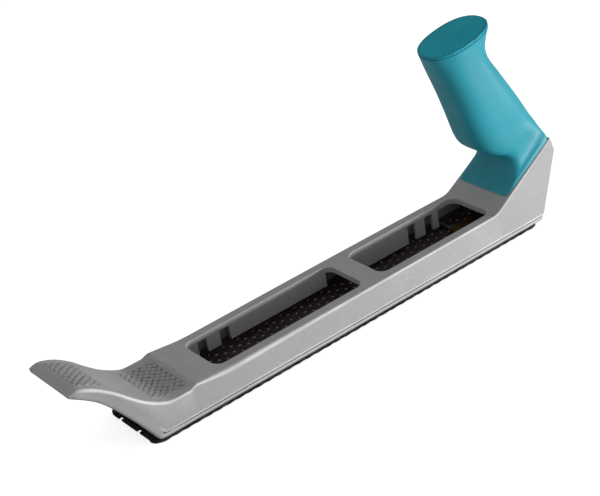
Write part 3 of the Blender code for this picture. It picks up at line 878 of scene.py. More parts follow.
@dataclass
class BodyCasting:
    """The die-cast body with its toe, deck, windows, ramp and heel."""

    rim_edge: float = 0.8
    rim_nose: float = 3.0
    rim_nose_inset: float = 0.4
    wall_at_rim: float = 1.1
    side_wall: float = 2.4
    ramp_side_wall: float = 2.8
    band_height: float = 2.6
    lip_out: float = 0.6
    lip_height: float = 1.4
    lip_top: float = 0.3
    groove: float = 0.65
    lip_profile: tuple[Row, ...] = ((-0.6, 0.0, 0.0), (-0.42, -1.0, 0.0), (0.12, -1.0, 0.0), (0.28, 0.0, 0.5),
                                    (0.42, 0.0, 0.92), (0.62, 0.0, 1.0), (0.95, 0.0, 0.86))
    lip_start: float = 0.85
    least_rise: float = 0.2
    # Shares of painted highlight round each section: on the lip, on the toe's and the deck's upper edges, and
    # on the windows' upper edges.
    lip_highlight: Row = (0.0,) * 5 + (0.6, 0.0, 0.0) + (0.4, 0.9, 0.8, 0.4, 0.0) + (0.0,) * 7
    toe_highlight: Row = (0.0,) * 13 + (0.2, 0.7, 1.0, 1.0, 0.7, 0.3, 0.0)
    deck_highlight: Row = (0.0,) * 13 + (0.0, 0.3, 0.8, 0.8, 0.3, 0.0, 0.0)
    window_highlight: Row = (0.0, 0.0, 0.2, 0.7, 1.0, 1.0, 0.9, 0.3, 0.0)
    highlight_fade: float = 12.0
    deck_width: float = 40.0
    deck_taper: float = 1.3
    bridge_taper: float = 0.4
    deck_setback: float = 24.0
    deck_kink_setback: float = 42.6
    deck_front_rise: float = 1.6
    step_drop: float = 1.5
    step_run: float = 3.2
    step_foot: float = 4.0
    toe_flat_start: float = 14.0
    toe_flat_run: float = 4.0
    toe_flare: float = 1.5
    top_edge: float = 1.2
    kink_edge: float = 2.6
    ramp_edge: float = 1.4
    horn_under: tuple[Row, ...] = ((-1.2, 1.0), (-4.0, 5.6), (-8.4, 12.4), (-13.8, 20.0), (-19.6, 27.7),
                                   (-25.0, 33.5), (-30.4, 37.7), (-34.6, 40.2), (-37.2, 41.6))
    horn_upper: tuple[Row, ...] = ((8.6, 16.6), (2.6, 19.4), (-3.6, 23.5), (-9.6, 28.8), (-15.9, 34.8),
                                   (-22.4, 39.7), (-27.9, 42.7), (-32.6, 44.2), (-36.9, 43.4))
    horn_half_under: Row = (21.6, 21.1, 20.7, 20.3, 20.0, 19.8, 19.6, 19.0, 17.4)
    horn_half_upper: Row = (21.5, 21.5, 21.4, 21.1, 20.7, 20.0, 19.2, 18.6, 18.0)
    horn_edge: float = 1.5
    tip_edge: float = 0.7
    tip_round: float = 0.5
    tip_rings: tuple[Row, ...] = ((1.0, 0.0), (0.3, 0.12), (0.0, 0.4))
    heel_round: float = 0.6
    heel_rings: tuple[Row, ...] = ((0.0, 1.0), (0.3, 0.3), (1.0, 0.0))
    corner_shares: tuple[Row, ...] = ((0.3, 0.5), (0.2, 0.12), (0.35, 0.35), (0.35, 0.06), (0.3, 0.06),
                                      (0.3, 0.3), (0.04, 0.05), (0.02, 0.1))
    corner_steps: int = 5
    horn_steps: int = 8
    rim_steps: int = 4
    edge_steps: int = 6
    window_width: float = 29.0
    window_corner: float = 5.0
    window_round: float = 0.4
    window_steps: int = 6
    window_segments: int = 12
    front_window_setback: float = 40.6
    front_window_length: float = 92.0
    bridge: float = 11.6
    skirt: float = 1.8
    skirt_feet: Row = (4.8, 2.8)
    front_skirt_gaps: tuple[Row, ...] = ((8.1, 13.8), (21.4, 27.8))
    rear_skirt_gaps: tuple[Row, ...] = ((33.4, 27.6), (21.4, 15.5))
    skirt_stops: Row = (3.0, 11.5)
    skirt_gap_reach: float = 1.5
    ramp_half_top: float = 18.9
    heel_wall: float = 3.6
    heel_wall_top: float = 1.1
    heel_foot: float = 2.0
    front_wall: float = 4.2
    front_wall_lean: float = 4.0
    front_wall_rise: float = 2.0
    lug_length: float = 6.0
    lug_width: float = 10.0
    lug_foot: float = 0.8
    lug_corner: float = 0.8
    lug_segments: int = 4
    tension_bore_gap: float = 0.5
    seat_gap: float = 0.8
    boss_radius: float = 7.0
    boss_length: float = 5.0
    upper_line: list[Row] = field(default_factory=list)

    @property
    def deck_half(self) -> float:
        """Half the deck's width."""
        return self.deck_width / 2

    @property
    def deck_front(self) -> float:
        """Place of the deck's front end."""
        return LAYOUT.rim_front + self.deck_setback

    @property
    def tip_x(self) -> float:
        """Place of the toe's tip."""
        return LAYOUT.rim_front - LAYOUT.toe_reach

    @property
    def step_z(self) -> float:
        """Height of the toe's flat below the step."""
        return LAYOUT.deck_z + self.deck_front_rise - self.step_drop

    @property
    def windows(self) -> tuple[Row, Row]:
        """Start and end of the front window and of the rear one."""
        start = LAYOUT.rim_front + self.front_window_setback
        end = start + self.front_window_length
        return (start, end), (end + self.bridge, LAYOUT.ramp_base)

    def horn_rows(self) -> list[Row]:
        """Sections of the toe horn from its tip to the rim, smoothed.

        Returns:
            Rows of under and upper point, half widths, edge radii and the lip's share.
        """
        rows = []
        lists = list(zip(self.horn_under, self.horn_upper, self.horn_half_under, self.horn_half_upper))
        for i, (under, upper, half_under, half_upper) in enumerate(reversed(lists)):
            edge = self.tip_edge if i == 0 else self.horn_edge
            rows.append((LAYOUT.rim_front + under[0], LAYOUT.rim_z + under[1], LAYOUT.rim_front + upper[0],
                         LAYOUT.rim_z + upper[1], half_under, half_upper, edge, edge,
                         self.lip_start * i / (len(lists) - 1)))
        return spline(rows + self.body_corners()[:1], self.horn_steps)[:-1]

    def body_corners(self) -> list[Row]:
        """Sections of the body at its corners, from the rim's front end to the heel.

        Returns:
            Rows as horn_rows gives them.
        """
        rim, front, deck = LAYOUT.rim_front, self.deck_front, LAYOUT.deck_z
        flat_start = rim + self.toe_flat_start
        kink = rim + self.deck_kink_setback
        bridge = self.windows[0][1] + self.bridge / 2
        top, base = LAYOUT.ramp_top, LAYOUT.ramp_base
        toe_half, wide = self.deck_half + self.toe_flare, self.deck_half + self.deck_taper
        bridge_half = self.deck_half + self.deck_taper * self.bridge_taper
        corners = (
            (rim, flat_start, self.step_z, toe_half, self.top_edge),
            (rim + self.rim_nose, flat_start + self.toe_flat_run, self.step_z, toe_half, self.top_edge),
            (front - 2 * self.step_foot, front - self.step_run, self.step_z, toe_half, self.top_edge),
            (front - self.step_foot, front, deck + self.deck_front_rise, wide, self.top_edge),
            (kink, kink, deck, wide, self.kink_edge),
            (bridge, bridge, deck, bridge_half, self.top_edge),
            (base, base, deck, self.deck_half, self.top_edge),
            (LAYOUT.rim_rear - self.heel_foot, top.x, top.z, self.ramp_half_top, self.ramp_edge),
            (LAYOUT.rim_rear, LAYOUT.heel_x, top.z - LAYOUT.heel_chamfer, self.ramp_half_top, self.ramp_edge),
        )
        rows = []
        for i, (under, upper, height, half_upper, edge) in enumerate(corners):
            half = LAYOUT.inner_half + self.wall_at_rim - (0.0 if i else self.rim_nose_inset)
            rows.append((under, LAYOUT.rim_z, upper, height, half, half_upper, self.rim_edge, edge, 1.0))
        return rows

    def ring(self, row: Row, inset: float = 0.0) -> Ring:
        """One section of the skin.

        Args:
            row: The section's numbers.
            inset: How far the section is drawn in all round.

        Returns:
            Points round the section.
        """
        under_x, under_z, upper_x, upper_z, half_under, half_upper, edge_under, edge_upper, lip = row
        under, upper = flat(under_x, under_z), flat(upper_x, upper_z)
        up = (upper - under).normalized()
        under, upper = under + up * inset, upper - up * inset
        length = (upper - under).length
        half_under, half_upper = half_under - inset, half_upper - inset
        marks = []
        for s, c in quarter(self.rim_steps):
            marks.append((edge_under * (1 - c), half_under - edge_under * (1 - s)))
        rise = max(up.z, self.least_rise)
        band = self.band_height / rise
        lipped = []
        for above, groove, out in self.lip_profile:
            lipped.append((band + above, groove * self.groove + out * self.lip_out))
        lipped.append((self.lip_height / rise + band, self.lip_top * self.lip_out))
        start, end = edge_under, length - edge_upper
        shown = smooth_step(self.lip_start, 1.0, lip)
        for i, (along, reach) in enumerate(lipped, start=1):
            share = i / (len(lipped) + 1)
            even = (start + (end - start) * share, half_under + (half_upper - half_under) * share)
            marks.append(mix_rows(even, (along, half_under + reach * shown), lip))
        for s, c in quarter(self.edge_steps):
            marks.append((length - edge_upper * (1 - s), half_upper - edge_upper * (1 - c)))
        return mirrored([under + up * along + ACROSS * half for along, half in marks])

    def skin_rings(self) -> list[Ring]:
        """All sections of the outer skin, from the toe's tip to the heel.

        Returns:
            The rings in order.
        """
        horn = self.horn_rows()
        body = eased(horn[-1:] + self.body_corners(), self.corner_shares, self.corner_steps)[1:]
        self.upper_line = [(row[2], row[3]) for row in horn + body]
        rings = []
        for share, ahead in self.tip_rings:
            rings.append(self.ring(mix_rows(horn[0], horn[1], ahead), self.tip_round * share))
        rings += [self.ring(row) for row in horn[1:] + body[:-1]]
        span = Vector((body[-1][2] - body[-2][2], body[-1][3] - body[-2][3])).length
        for share, back in self.heel_rings:
            row = mix_rows(body[-1], body[-2], back * self.heel_round / span)
            rings.append(self.ring(row, self.heel_round * share))
        return rings

    def cavity(self) -> Shape:
        """The hollow under the deck.

        Returns:
            The tool that cuts it.
        """
        low = LAYOUT.rim_z - LAYOUT.rim_rise - LAYOUT.deck_thickness
        roof = LAYOUT.deck_z - LAYOUT.deck_thickness
        front = LAYOUT.rim_front + self.front_wall
        lean = front + self.front_wall_lean
        rise = self.front_wall_rise
        step_roof = self.step_z - LAYOUT.deck_thickness
        rear_low = LAYOUT.rim_rear - self.heel_wall - math.tan(LAYOUT.heel_lean) * (LAYOUT.rim_z - low)
        back = LAYOUT.ramp_up * self.heel_wall * self.heel_wall_top
        top = LAYOUT.ramp_top - LAYOUT.ramp_out * LAYOUT.deck_thickness - back
        half = self.deck_half - self.side_wall
        behind = self.deck_front + LAYOUT.deck_thickness
        sections = (
            ((front, low), (lean, step_roof - rise), half - rise / 2),
            ((lean, low), (lean + 3 * rise, step_roof), half),
            ((self.deck_front, low), (self.deck_front, step_roof), half),
            ((behind, low), (behind, roof), half),
            ((LAYOUT.ramp_base, low), (LAYOUT.ramp_base, roof), half),
            ((rear_low, low), (top.x, top.z), self.ramp_half_top - self.ramp_side_wall),
        )
        shoulder = LAYOUT.flange_top + LAYOUT.gap
        rings = []
        for under, upper, half_upper in sections:
            share = (shoulder - under[1]) / (upper[1] - under[1])
            middle = under[0] + (upper[0] - under[0]) * share
            right = [Vector((under[0], LAYOUT.inner_half, under[1])),
                     Vector((middle, LAYOUT.inner_half, shoulder)),
                     Vector((upper[0], half_upper, upper[1]))]
            rings.append(mirrored(right))
        return Shape().skin(rings)

    def window_tool(self, start: float, end: float) -> Shape:
        """A window's cutter, flared so that the window's upper edge comes out round.

        Args:
            start: The window's front end.
            end: Its rear end.

        Returns:
            The tool.
        """
        half, size = self.window_width / 2, self.window_round
        levels = [(LAYOUT.rim_z - LAYOUT.past, 0.0)]
        for s, c in quarter(self.window_steps):
            levels.append((LAYOUT.deck_z - size * (1 - s), size * (1 - c)))
        levels.append((LAYOUT.deck_z + LAYOUT.past, size))
        rings = []
        for z, flare in levels:
            low, high = (start - flare, -half - flare), (end + flare, half + flare)
            plan = rounded_plan(low, high, self.window_corner + flare, self.window_segments)
            rings.append([Vector((x, y, z)) for x, y in plan])
        # The cutter hands a painted highlight to the window's upper edge.
        return Shape().skin(rings).mask(HIGHLIGHT_MASK, lambda number, place: self.window_highlight[number // len(plan)])

    def tools(self) -> list[tuple[Operation, Shape]]:
        """Every cut and joined form of the casting, in order.

        Returns:
            Operations with their tools.
        """
        cut, join = Operation.CUT, Operation.JOIN
        half, skirt, thick = self.window_width / 2, self.skirt, LAYOUT.deck_thickness
        steps = [(cut, self.cavity())]
        for (start, end), foot in zip(self.windows, self.skirt_feet):
            low = (start - skirt, -half - skirt, LAYOUT.rim_z + foot)
            high = (end + skirt, half + skirt, LAYOUT.deck_z - thick / 2)
            steps.append((join, Shape().box(low, high, self.window_corner + skirt)))
        lug = LAYOUT.front_pin + LAYOUT.pin_radius + LAYOUT.gap
        low = (lug, -self.lug_width / 2, LAYOUT.sheet_top + self.lug_foot)
        high = (lug + self.lug_length, self.lug_width / 2, LAYOUT.deck_z - thick / 3)
        steps.append((join, Shape().box(low, high, self.lug_corner, self.lug_segments)))
        steps += [(cut, self.window_tool(start, end)) for start, end in self.windows]
        steps.append((cut, self.skirt_gaps(LAYOUT.rim_z + min(self.skirt_feet) - skirt / 2)))
        steps += self.tension_tools()
        return steps + handle_screw_holes(-2 * thick, thick)

    def skirt_gaps(self, below: float) -> Shape:
        """The gaps in the windows' skirts and their open rear ends.

        Args:
            below: Height that the cut starts at.

        Returns:
            The tool.
        """
        half, skirt = self.window_width / 2, self.skirt
        past = skirt * self.skirt_gap_reach
        outside, roof = half + past, LAYOUT.deck_z - LAYOUT.deck_thickness
        front = self.windows[0][0]
        spans = [(front + start, front + end) for start, end in self.front_skirt_gaps]
        spans += [(LAYOUT.ramp_base - start, LAYOUT.ramp_base - end) for start, end in self.rear_skirt_gaps]
        tool = Shape()
        for start, end in spans:
            for side in (-1, 1):
                near, far = sorted((side * (half - skirt / 2), side * outside))
                tool.box((start, near, below), (end, far, roof))
        for (_, end), stop in zip(self.windows, self.skirt_stops):
            tool.box((end - stop, -outside, below), (end + past, outside, roof))
        return tool

    def tension_tools(self) -> list[tuple[Operation, Shape]]:
        """The boss, bore and seat of the tension screw.

        Returns:
            Operations with their tools.
        """
        past, place = LAYOUT.past, flat(LAYOUT.tension_seat, LAYOUT.screw_z)
        forms = (
            (Operation.JOIN, -self.boss_length, 0.0, self.boss_radius),
            (Operation.CUT, -past, past, LAYOUT.tension_radius + self.tension_bore_gap),
            (Operation.CUT, 0.0, past, LAYOUT.tension_washer + self.seat_gap),
        )
        steps = []
        for operation, low, high, radius in forms:
            steps.append((operation, Shape().turned(place, ALONG, ((low, radius), (high, radius)))))
        return steps

    def rub(self, number: int, place: Vector) -> float:
        """How much painted highlight the skin takes: along its upper edges and its lip.

        Args:
            number: The vertex's number on the skin.
            place: Its place on the drawing.

        Returns:
            The share of painted highlight.
        """
        count = 2 * len(self.toe_highlight)
        mark = min(number % count, count - 1 - number % count)
        behind_tip = smooth_step(self.tip_x, self.tip_x + self.highlight_fade, place.x)
        on_rim = smooth_step(LAYOUT.rim_front, LAYOUT.rim_front + self.rim_nose, place.x)
        on_deck = smooth_step(self.deck_front - self.step_foot, self.deck_front, place.x)
        edge = self.toe_highlight[mark] + (self.deck_highlight[mark] - self.toe_highlight[mark]) * on_deck
        return edge * behind_tip + self.lip_highlight[mark] * on_rim

    def build(self) -> None:
        """Makes the casting."""
        # The skin carries painted highlights along its upper edges and its lip.
        shape = Shape().skin(self.skin_rings()).mask(HIGHLIGHT_MASK, self.rub)
        Piece("casting_body", Body.FRAME, Slot.CAST, CAST_LACQUER, "body_casting").make(shape, self.tools())


@dataclass
class ToeHatch:
    """A hatched pad on top of the toe: low diamonds between two families of crossing grooves."""

    name: str
    line: Sequence[Row]
    start: float
    end: float
    half: float
    pitch: float = 2.8
    height: float = 0.32
    floor: float = 0.03
    groove: float = 0.3
    sink: float = 0.5
    step: float = 0.2
    margin: float = 1.4
    crisp: float = 60.0

    def path(self) -> list[tuple[Vector, Vector, float]]:
        """Places along the toe's top between the pad's ends.

        Returns:
            Points with the direction square to the top and the distance run.
        """
        points = [flat(x, z) for x, z in self.line]
        made, run, due = [], 0.0, 0.0
        for first, second in zip(points, points[1:]):
            span = second - first
            length = span.length
            while due <= run + length:
                point = first + span * ((due - run) / length)
                if self.start <= point.x <= self.end:
                    made.append((point, flat(-span.z, span.x).normalized(), due))
                due += self.step
            run += length
        return made

    def crest(self, run: float, across: float) -> float:
        """How near a place is to the top of a diamond, from 0 in a groove to 1.

        Args:
            run: Distance along the pad.
            across: Distance from the toe's middle line.

        Returns:
            The share of the diamonds' height.
        """
        reach = 0.0
        for turned in (run + across, run - across):
            way = abs((turned / math.sqrt(2.0) / self.pitch) % 1.0 - 0.5)
            reach = max(reach, way)
        return smooth_step(0.5, 0.5 - self.groove, reach)

    def inside(self, share: float, across: float) -> float:
        """How far inside the pad's border a place is, from 0 on the border to 1.

        Args:
            share: How far along the pad the place is, from 0 to 1.
            across: Distance from the toe's middle line.

        Returns:
            The share of the margin.
        """
        ends = min(share, 1.0 - share) * (self.end - self.start)
        return smooth_step(0.0, self.margin, min(across + self.half, self.half - across, ends))

    def build(self) -> None:
        """Makes the pad: its hatched top, a floor below the toe's skin and walls round it."""
        columns = int(2 * self.half / self.step)
        path = self.path()
        first, last = path[0][2], path[-1][2]
        shape = Shape()
        verts, faces = shape.mesh.verts, shape.mesh.faces
        layer = verts.layers.float.new(SHADE_AND_BAND_MASK)
        tops, floors = [], []
        for point, out, run in path:
            share = (run - first) / (last - first)
            top, floor = [], []
            for i in range(columns + 1):
                across = -self.half + 2 * self.half * i / columns
                place = point + ACROSS * across
                crest, inside = self.crest(run, across), self.inside(share, across)
                lift = (self.floor + self.height * crest + self.sink) * inside - self.sink
                top.append(verts.new(place + out * lift))
                # The grooves' share of painted shade.
                top[-1][layer] = (1.0 - crest) * inside
                floor.append(verts.new(place - out * 2 * self.sink))
            tops.append(top)
            floors.append(floor)
        rims = []
        for rows, turn in ((tops, 1), (floors, -1)):
            for row, following in zip(rows, rows[1:]):
                for i in range(columns):
                    faces.new((row[i], row[i + 1], following[i + 1], following[i])[::turn])
            right, left = [row[-1] for row in rows[1:]], [row[0] for row in rows[-2:0:-1]]
            rims.append(rows[0] + right + rows[-1][-2::-1] + left)
        upper, lower = rims
        for i in range(len(upper)):
            faces.new((upper[i - 1], upper[i], lower[i], lower[i - 1]))
        Piece(self.name, Body.FRAME, Slot.CAST, CAST_HATCH, crisp=self.crisp).make(shape)


TOE_PADS = (("toe_hatch_rear", -121.0, -100.2, 16.5), ("toe_hatch_front", -156.0, -140.0, 15.0))


# Rasp blade


class PunchedSheet:
    """A sheet drawn in plan, with an upper and a lower face and walls round every opening."""

    def __init__(self, low: float, high: float) -> None:
        """Takes the heights of the sheet's lower and upper faces."""
        self.low, self.high = low, high
        self.shape = Shape()
        layers = self.shape.mesh.verts.layers.float
        for name in (SHADE_AND_BAND_MASK, HIGHLIGHT_MASK):
            layers.new(name)
        self.masks = layers[SHADE_AND_BAND_MASK], layers[HIGHLIGHT_MASK]
        self.points: dict[Row, tuple[bmesh.types.BMVert, bmesh.types.BMVert]] = {}
        self.uppers: list[bmesh.types.BMFace] = []

    def corner(self, x: float, y: float, upper: float = 0.0, lower: float = 0.0, shade: float = 0.0,
               rub: float = 0.0) -> Row:
        """A place on the sheet.

        Args:
            x: Its place along.
            y: Its place across.
            upper: How far the upper face is moved up there.
            lower: How far the lower face is moved up there.
            shade: How much painted shade darkens the paint there.
            highlight: How much painted glint it takes.

        Returns:
            The place's key.
        """
        key = (round(x, 4), round(y, 4))
        if key not in self.points:
            verts = self.shape.mesh.verts
            self.points[key] = (verts.new((x, y, self.high + upper)), verts.new((x, y, self.low + lower)))
            for vertex in self.points[key]:
                vertex[self.masks[0]] = shade
                vertex[self.masks[1]] = rub
        return key

    def panel(self, keys: Sequence[Row]) -> None:
        """Lays an upper and a lower face between places, unless they fall together."""
        kept = [key for i, key in enumerate(keys) if key != keys[i - 1]]
        if len(kept) < 3:
            return
        pairs = [self.points[key] for key in kept]
        self.uppers.append(self.shape.mesh.faces.new([pair[0] for pair in pairs]))
        self.shape.mesh.faces.new([pair[1] for pair in reversed(pairs)])

    def walls(self) -> None:
        """Closes the sheet round its outline and its openings."""
        below = {pair[0]: pair[1] for pair in self.points.values()}
        rims = dict.fromkeys(edge for face in self.uppers for edge in face.edges if len(edge.link_faces) == 1)
        for edge in rims:
            first, second = edge.verts
            self.shape.mesh.faces.new((first, second, below[second], below[first]))


@dataclass
class RaspBlade:
    """The pressed blade: skewed rows of punched teeth, turned-up sides and a notched front end."""

    corner: float = 5.0
    flange_front_setback: float = 12.3
    flange_rear_setback: float = 4.4
    hole_length: float = 3.1
    hole_width: float = 2.3
    hole_square: float = 2.6
    tooth_length: float = 2.4
    tooth_side: Row = (0.75, 1.2)
    tooth_thinning: float = 0.3
    thin_reach: float = 0.8
    front_reach: float = 1.2
    front_lift: Row = (0.1, 0.15)
    hole_pitch: float = 9.1
    row_pitch: float = 2.53
    side_rows: int = 7
    cell_steps: int = 10
    side_steps: int = 4
    row_shift: int = 6
    row_phase: int = 8
    lattice_setback: float = 8.52
    rear_margin: float = 10.0
    notch_depth: float = 1.8
    notch_width: float = 2.8
    end_notches: tuple[float, ...] = (10.2, -5.8)
    rings: Row = (0.0, 0.15, 0.4, 0.7, 1.0)
    edge_reach: Row = (0.9, 0.2)
    edge_drop: float = 0.45
    edge_tooth: float = 0.25
    edge_flank: Row = (0.2, 0.8)
    edge_pitch: float = 6.1
    shade_inset: float = 0.8
    side_tooth: float = 0.9
    side_lines: Row = (1.4, 0.7, 0.3, 0.0)
    head_lines: Row = (0.0, 0.3, 0.7, 1.2)
    tail_lines: Row = (5.0, 3.8, 2.6, 1.6, 0.9, 0.4, 0.1, 0.0)
    flange_inset: float = 0.02
    flange_foot: float = 0.5
    flange_edge: float = 0.25
    flange_bend: Row = (0.2, 0.3)
    pin_end_gap: float = 0.2
    pin_edge: float = 0.35
    pin_end: float = 0.7
    crisp: float = 40.0

    @property
    def unit(self) -> float:
        """Distance between the lattice's lines across the blade."""
        return self.hole_pitch / self.cell_steps

    @property
    def field_half(self) -> float:
        """Half the width of the punched field."""
        return (self.side_rows + 0.5) * self.row_pitch

    @property
    def last_hole(self) -> int:
        """The last line that may hold a hole's middle."""
        return int((LAYOUT.blade_length - self.rear_margin - self.lattice_setback) / self.unit)

    def lines(self, first: int, last: int) -> list[float]:
        """Places of the lattice's lines across the blade, from the first number to the last."""
        start = LAYOUT.blade_front + self.lattice_setback
        return [start + self.unit * number for number in range(first, last + 1)]

    def strips(self, first: float, last: float) -> list[float]:
        """Places of the lattice's lines along the blade, between two rows' borders."""
        count = round((last - first) * self.side_steps)
        return [self.row_pitch * (first + i / self.side_steps) for i in range(count + 1)]

    def tooth(self, along: float, across: float) -> tuple[float, float]:
        """How the pressed tooth moves the sheet near a hole.

        Args:
            along: Distance behind the hole's middle.
            across: Distance beside it.

        Returns:
            Moves of the upper and the lower face.
        """
        half = self.hole_length / 2
        side = 1.0 - smooth_step(*self.tooth_side, abs(across))
        slope = min(1.0, max(0.0, 1.0 - (along - half) / self.tooth_length))
        press = slope * smooth_step(0.0, half, along) * side
        front = smooth_step(0.0, -half, along) * smooth_step(-half - self.front_reach, -half, along) * side
        edge = 1.0 - smooth_step(half, half + self.thin_reach, along)
        thin = self.tooth_thinning * LAYOUT.sheet * press * edge
        upper, lower = (lift * front - LAYOUT.tooth_depth * press for lift in self.front_lift)
        return upper - thin, lower

    def hole(self, sheet: PunchedSheet, x: float, row: int) -> None:
        """One cell of the field with its punched hole.

        Args:
            sheet: The sheet.
            x: The hole's middle along.
            row: The number of its row, from the blade's middle line.
        """
        half_x, half_y = self.hole_pitch / 2, self.row_pitch / 2
        us = [self.unit * i - half_x for i in range(self.cell_steps + 1)]
        vs = self.strips(-0.5, 0.5)
        border = [(u, vs[0]) for u in us[:-1]] + [(us[-1], v) for v in vs[:-1]]
        border += [(u, vs[-1]) for u in reversed(us[1:])] + [(us[0], v) for v in reversed(vs[1:])]
        rows = []
        for share in self.rings:
            keys = []
            for u, v in border:
                c, s = squarish(math.atan2(v / half_y, u / half_x), self.hole_square)
                inner = (c * self.hole_length / 2, s * self.hole_width / 2)
                along, across = mix_rows(inner, (u, v), share)
                moves = self.tooth(along, across) if share < 1.0 else (0.0, 0.0)
                keys.append(sheet.corner(x + along, row * self.row_pitch + across, *moves))
            rows.append(keys)
        for keys, following in zip(rows, rows[1:]):
            for i, key in enumerate(keys):
                j = (i + 1) % len(keys)
                sheet.panel((key, keys[j], following[j], following[i]))

    def grid(self, sheet: PunchedSheet, xs: Sequence[float], ys: Sequence[float],
             keep: Callable[[float, float], bool] = lambda x, y: True) -> None:
        """Plain panels between lines along and across, held inside the blade's outline.

        Args:
            sheet: The sheet.
            xs: Lines across the blade.
            ys: Lines along it.
            keep: Whether there is metal at a panel's middle.
        """
        for x0, x1 in zip(xs, xs[1:]):
            for y0, y1 in zip(ys, ys[1:]):
                if not keep((x0 + x1) / 2, (y0 + y1) / 2):
                    continue
                keys = [self.edge_corner(sheet, x, y) for x, y in ((x0, y0), (x1, y0), (x1, y1), (x0, y1))]
                sheet.panel(keys)

    def edge_corner(self, sheet: PunchedSheet, x: float, y: float) -> Row:
        """A place of a plain panel, drawn in at the blade's corners, with teeth pressed along its sides.

        Args:
            sheet: The sheet.
            x: Its place along.
            y: Its place across.

        Returns:
            The place's key.
        """
        inside = min(x - LAYOUT.blade_front, LAYOUT.blade_rear - x)
        limit = LAYOUT.blade_half
        if inside < self.corner:
            limit -= self.corner - math.sqrt(max(0.0, self.corner ** 2 - (self.corner - inside) ** 2))
        held = math.copysign(min(abs(y), limit), y)
        side = smooth_step(*(LAYOUT.blade_half - reach for reach in self.edge_reach), abs(y))
        way = abs((x - LAYOUT.blade_front) / self.edge_pitch % 1.0 * 2.0 - 1.0)
        drop = self.edge_drop + self.edge_tooth * smooth_step(*self.edge_flank, way)
        # Tips of the outermost teeth take a painted glint; the side strips and the corners take painted
        # shade.
        if self.has_side_tooth(x, y):
            return sheet.corner(x, held, self.side_tooth, -drop * side, rub=1.0)
        shade = 1.0
        if inside >= self.corner:
            shade = smooth_step(self.field_half, LAYOUT.blade_half - self.shade_inset, abs(y))
        return sheet.corner(x, held, 0.0, -drop * side, shade)

    def has_side_tooth(self, x: float, y: float) -> bool:
        """Whether a place of the side strips is the tip of a tooth of the outermost row.

        Args:
            x: Its place along.
            y: Its place across.

        Returns:
            True on a tooth's tip.
        """
        number = (x - LAYOUT.blade_front - self.lattice_setback) / self.unit
        on_line = math.isclose(abs(y), LAYOUT.blade_half - self.side_lines[0], abs_tol=0.01)
        if not on_line or not 0 <= number <= self.last_hole:
            return False
        row = math.copysign(self.side_rows + 1, y)
        return round(number - self.row_shift * row - self.row_phase) % self.cell_steps == 0

    def field(self, sheet: PunchedSheet) -> None:
        """All rows of teeth, with plain metal before and behind them.

        Args:
            sheet: The sheet.
        """
        half = self.cell_steps // 2
        for row in range(-self.side_rows, self.side_rows + 1):
            first = (self.row_shift * row + self.row_phase) % self.cell_steps
            middles = self.lines(0, self.last_hole)[first::self.cell_steps]
            for x in middles:
                self.hole(sheet, x, row)
            strips = self.strips(row - 0.5, row + 0.5)
            end = first + self.cell_steps * (len(middles) - 1) + half
            self.grid(sheet, self.lines(-half, first - half), strips)
            self.grid(sheet, self.lines(end, self.last_hole + half), strips)

    def plain_parts(self, sheet: PunchedSheet) -> None:
        """The side strips and both plain ends.

        Args:
            sheet: The sheet.
        """
        half = self.cell_steps // 2
        steps = self.lines(-half, self.last_hole + half)
        side = [self.field_half] + [LAYOUT.blade_half - inset for inset in self.side_lines]
        self.grid(sheet, steps, side)
        self.grid(sheet, steps, [-y for y in reversed(side)])
        middle = self.strips(-self.side_rows - 0.5, self.side_rows + 0.5)
        ys = [-y for y in reversed(side[1:])] + middle + side[1:]
        front, start = LAYOUT.blade_front, steps[0]
        inner = front + self.notch_depth
        heads = [front + line for line in self.head_lines] + [inner, (inner + start) / 2, start]
        half_notch = self.notch_width / 2

        def solid(x: float, y: float) -> bool:
            """Whether a panel of the front end is outside the notches."""
            return x > inner or all(abs(y - notch) > half_notch for notch in self.end_notches)

        self.grid(sheet, heads, ys, solid)
        tails = [LAYOUT.blade_rear - line for line in self.tail_lines]
        self.grid(sheet, steps[-1:] + tails, ys)

    def flanges(self, shape: Shape) -> None:
        """The turned-up sides.

        Args:
            shape: The blade's mesh.
        """
        start = LAYOUT.blade_front + self.flange_front_setback
        end = LAYOUT.blade_rear - self.flange_rear_setback
        outer, inner = LAYOUT.blade_half - self.flange_inset, LAYOUT.blade_half - LAYOUT.sheet
        low, high, edge = LAYOUT.tooth_depth + self.flange_foot, LAYOUT.flange_top, self.flange_edge
        run, rise = self.flange_bend
        profile = ((inner, low), (outer, low), (outer, high - edge), (outer - edge, high),
                   (inner + edge, high), (inner, high - edge), (inner, LAYOUT.sheet_top + rise),
                   (inner - run, LAYOUT.sheet_top - self.flange_inset))
        for side in (-1, 1):
            shape.skin([[Vector((x, side * y, z)) for y, z in profile] for x in (start, end)])

    def build(self) -> None:
        """Makes the blade and its pins."""
        sheet = PunchedSheet(LAYOUT.tooth_depth, LAYOUT.sheet_top)
        self.field(sheet)
        self.plain_parts(sheet)
        sheet.walls()
        self.flanges(sheet.shape)
        Piece("blade_sheet", Body.BLADE, Slot.BLACK, BLACK_BLADE, "rasp_blade", self.crisp).make(sheet.shape)
        self.build_pins()

    def build_pins(self) -> None:
        """Makes the two cross pins that the lug and the hook hold."""
        length, radius = LAYOUT.blade_half - self.pin_end_gap, LAYOUT.pin_radius
        slim, edge = radius * self.pin_end, length - self.pin_edge
        profile = ((-length, slim), (-edge, radius), (edge, radius), (length, slim))
        for name, x in (("front", LAYOUT.front_pin), ("rear", LAYOUT.rear_pin)):
            shape = Shape().turned(flat(x, LAYOUT.pin_z), ACROSS, profile)
            Piece("cross_pin_" + name, Body.BLADE, Slot.STEEL, PLATED_STEEL, "blade_pin_" + name).make(shape)


# Blade tension


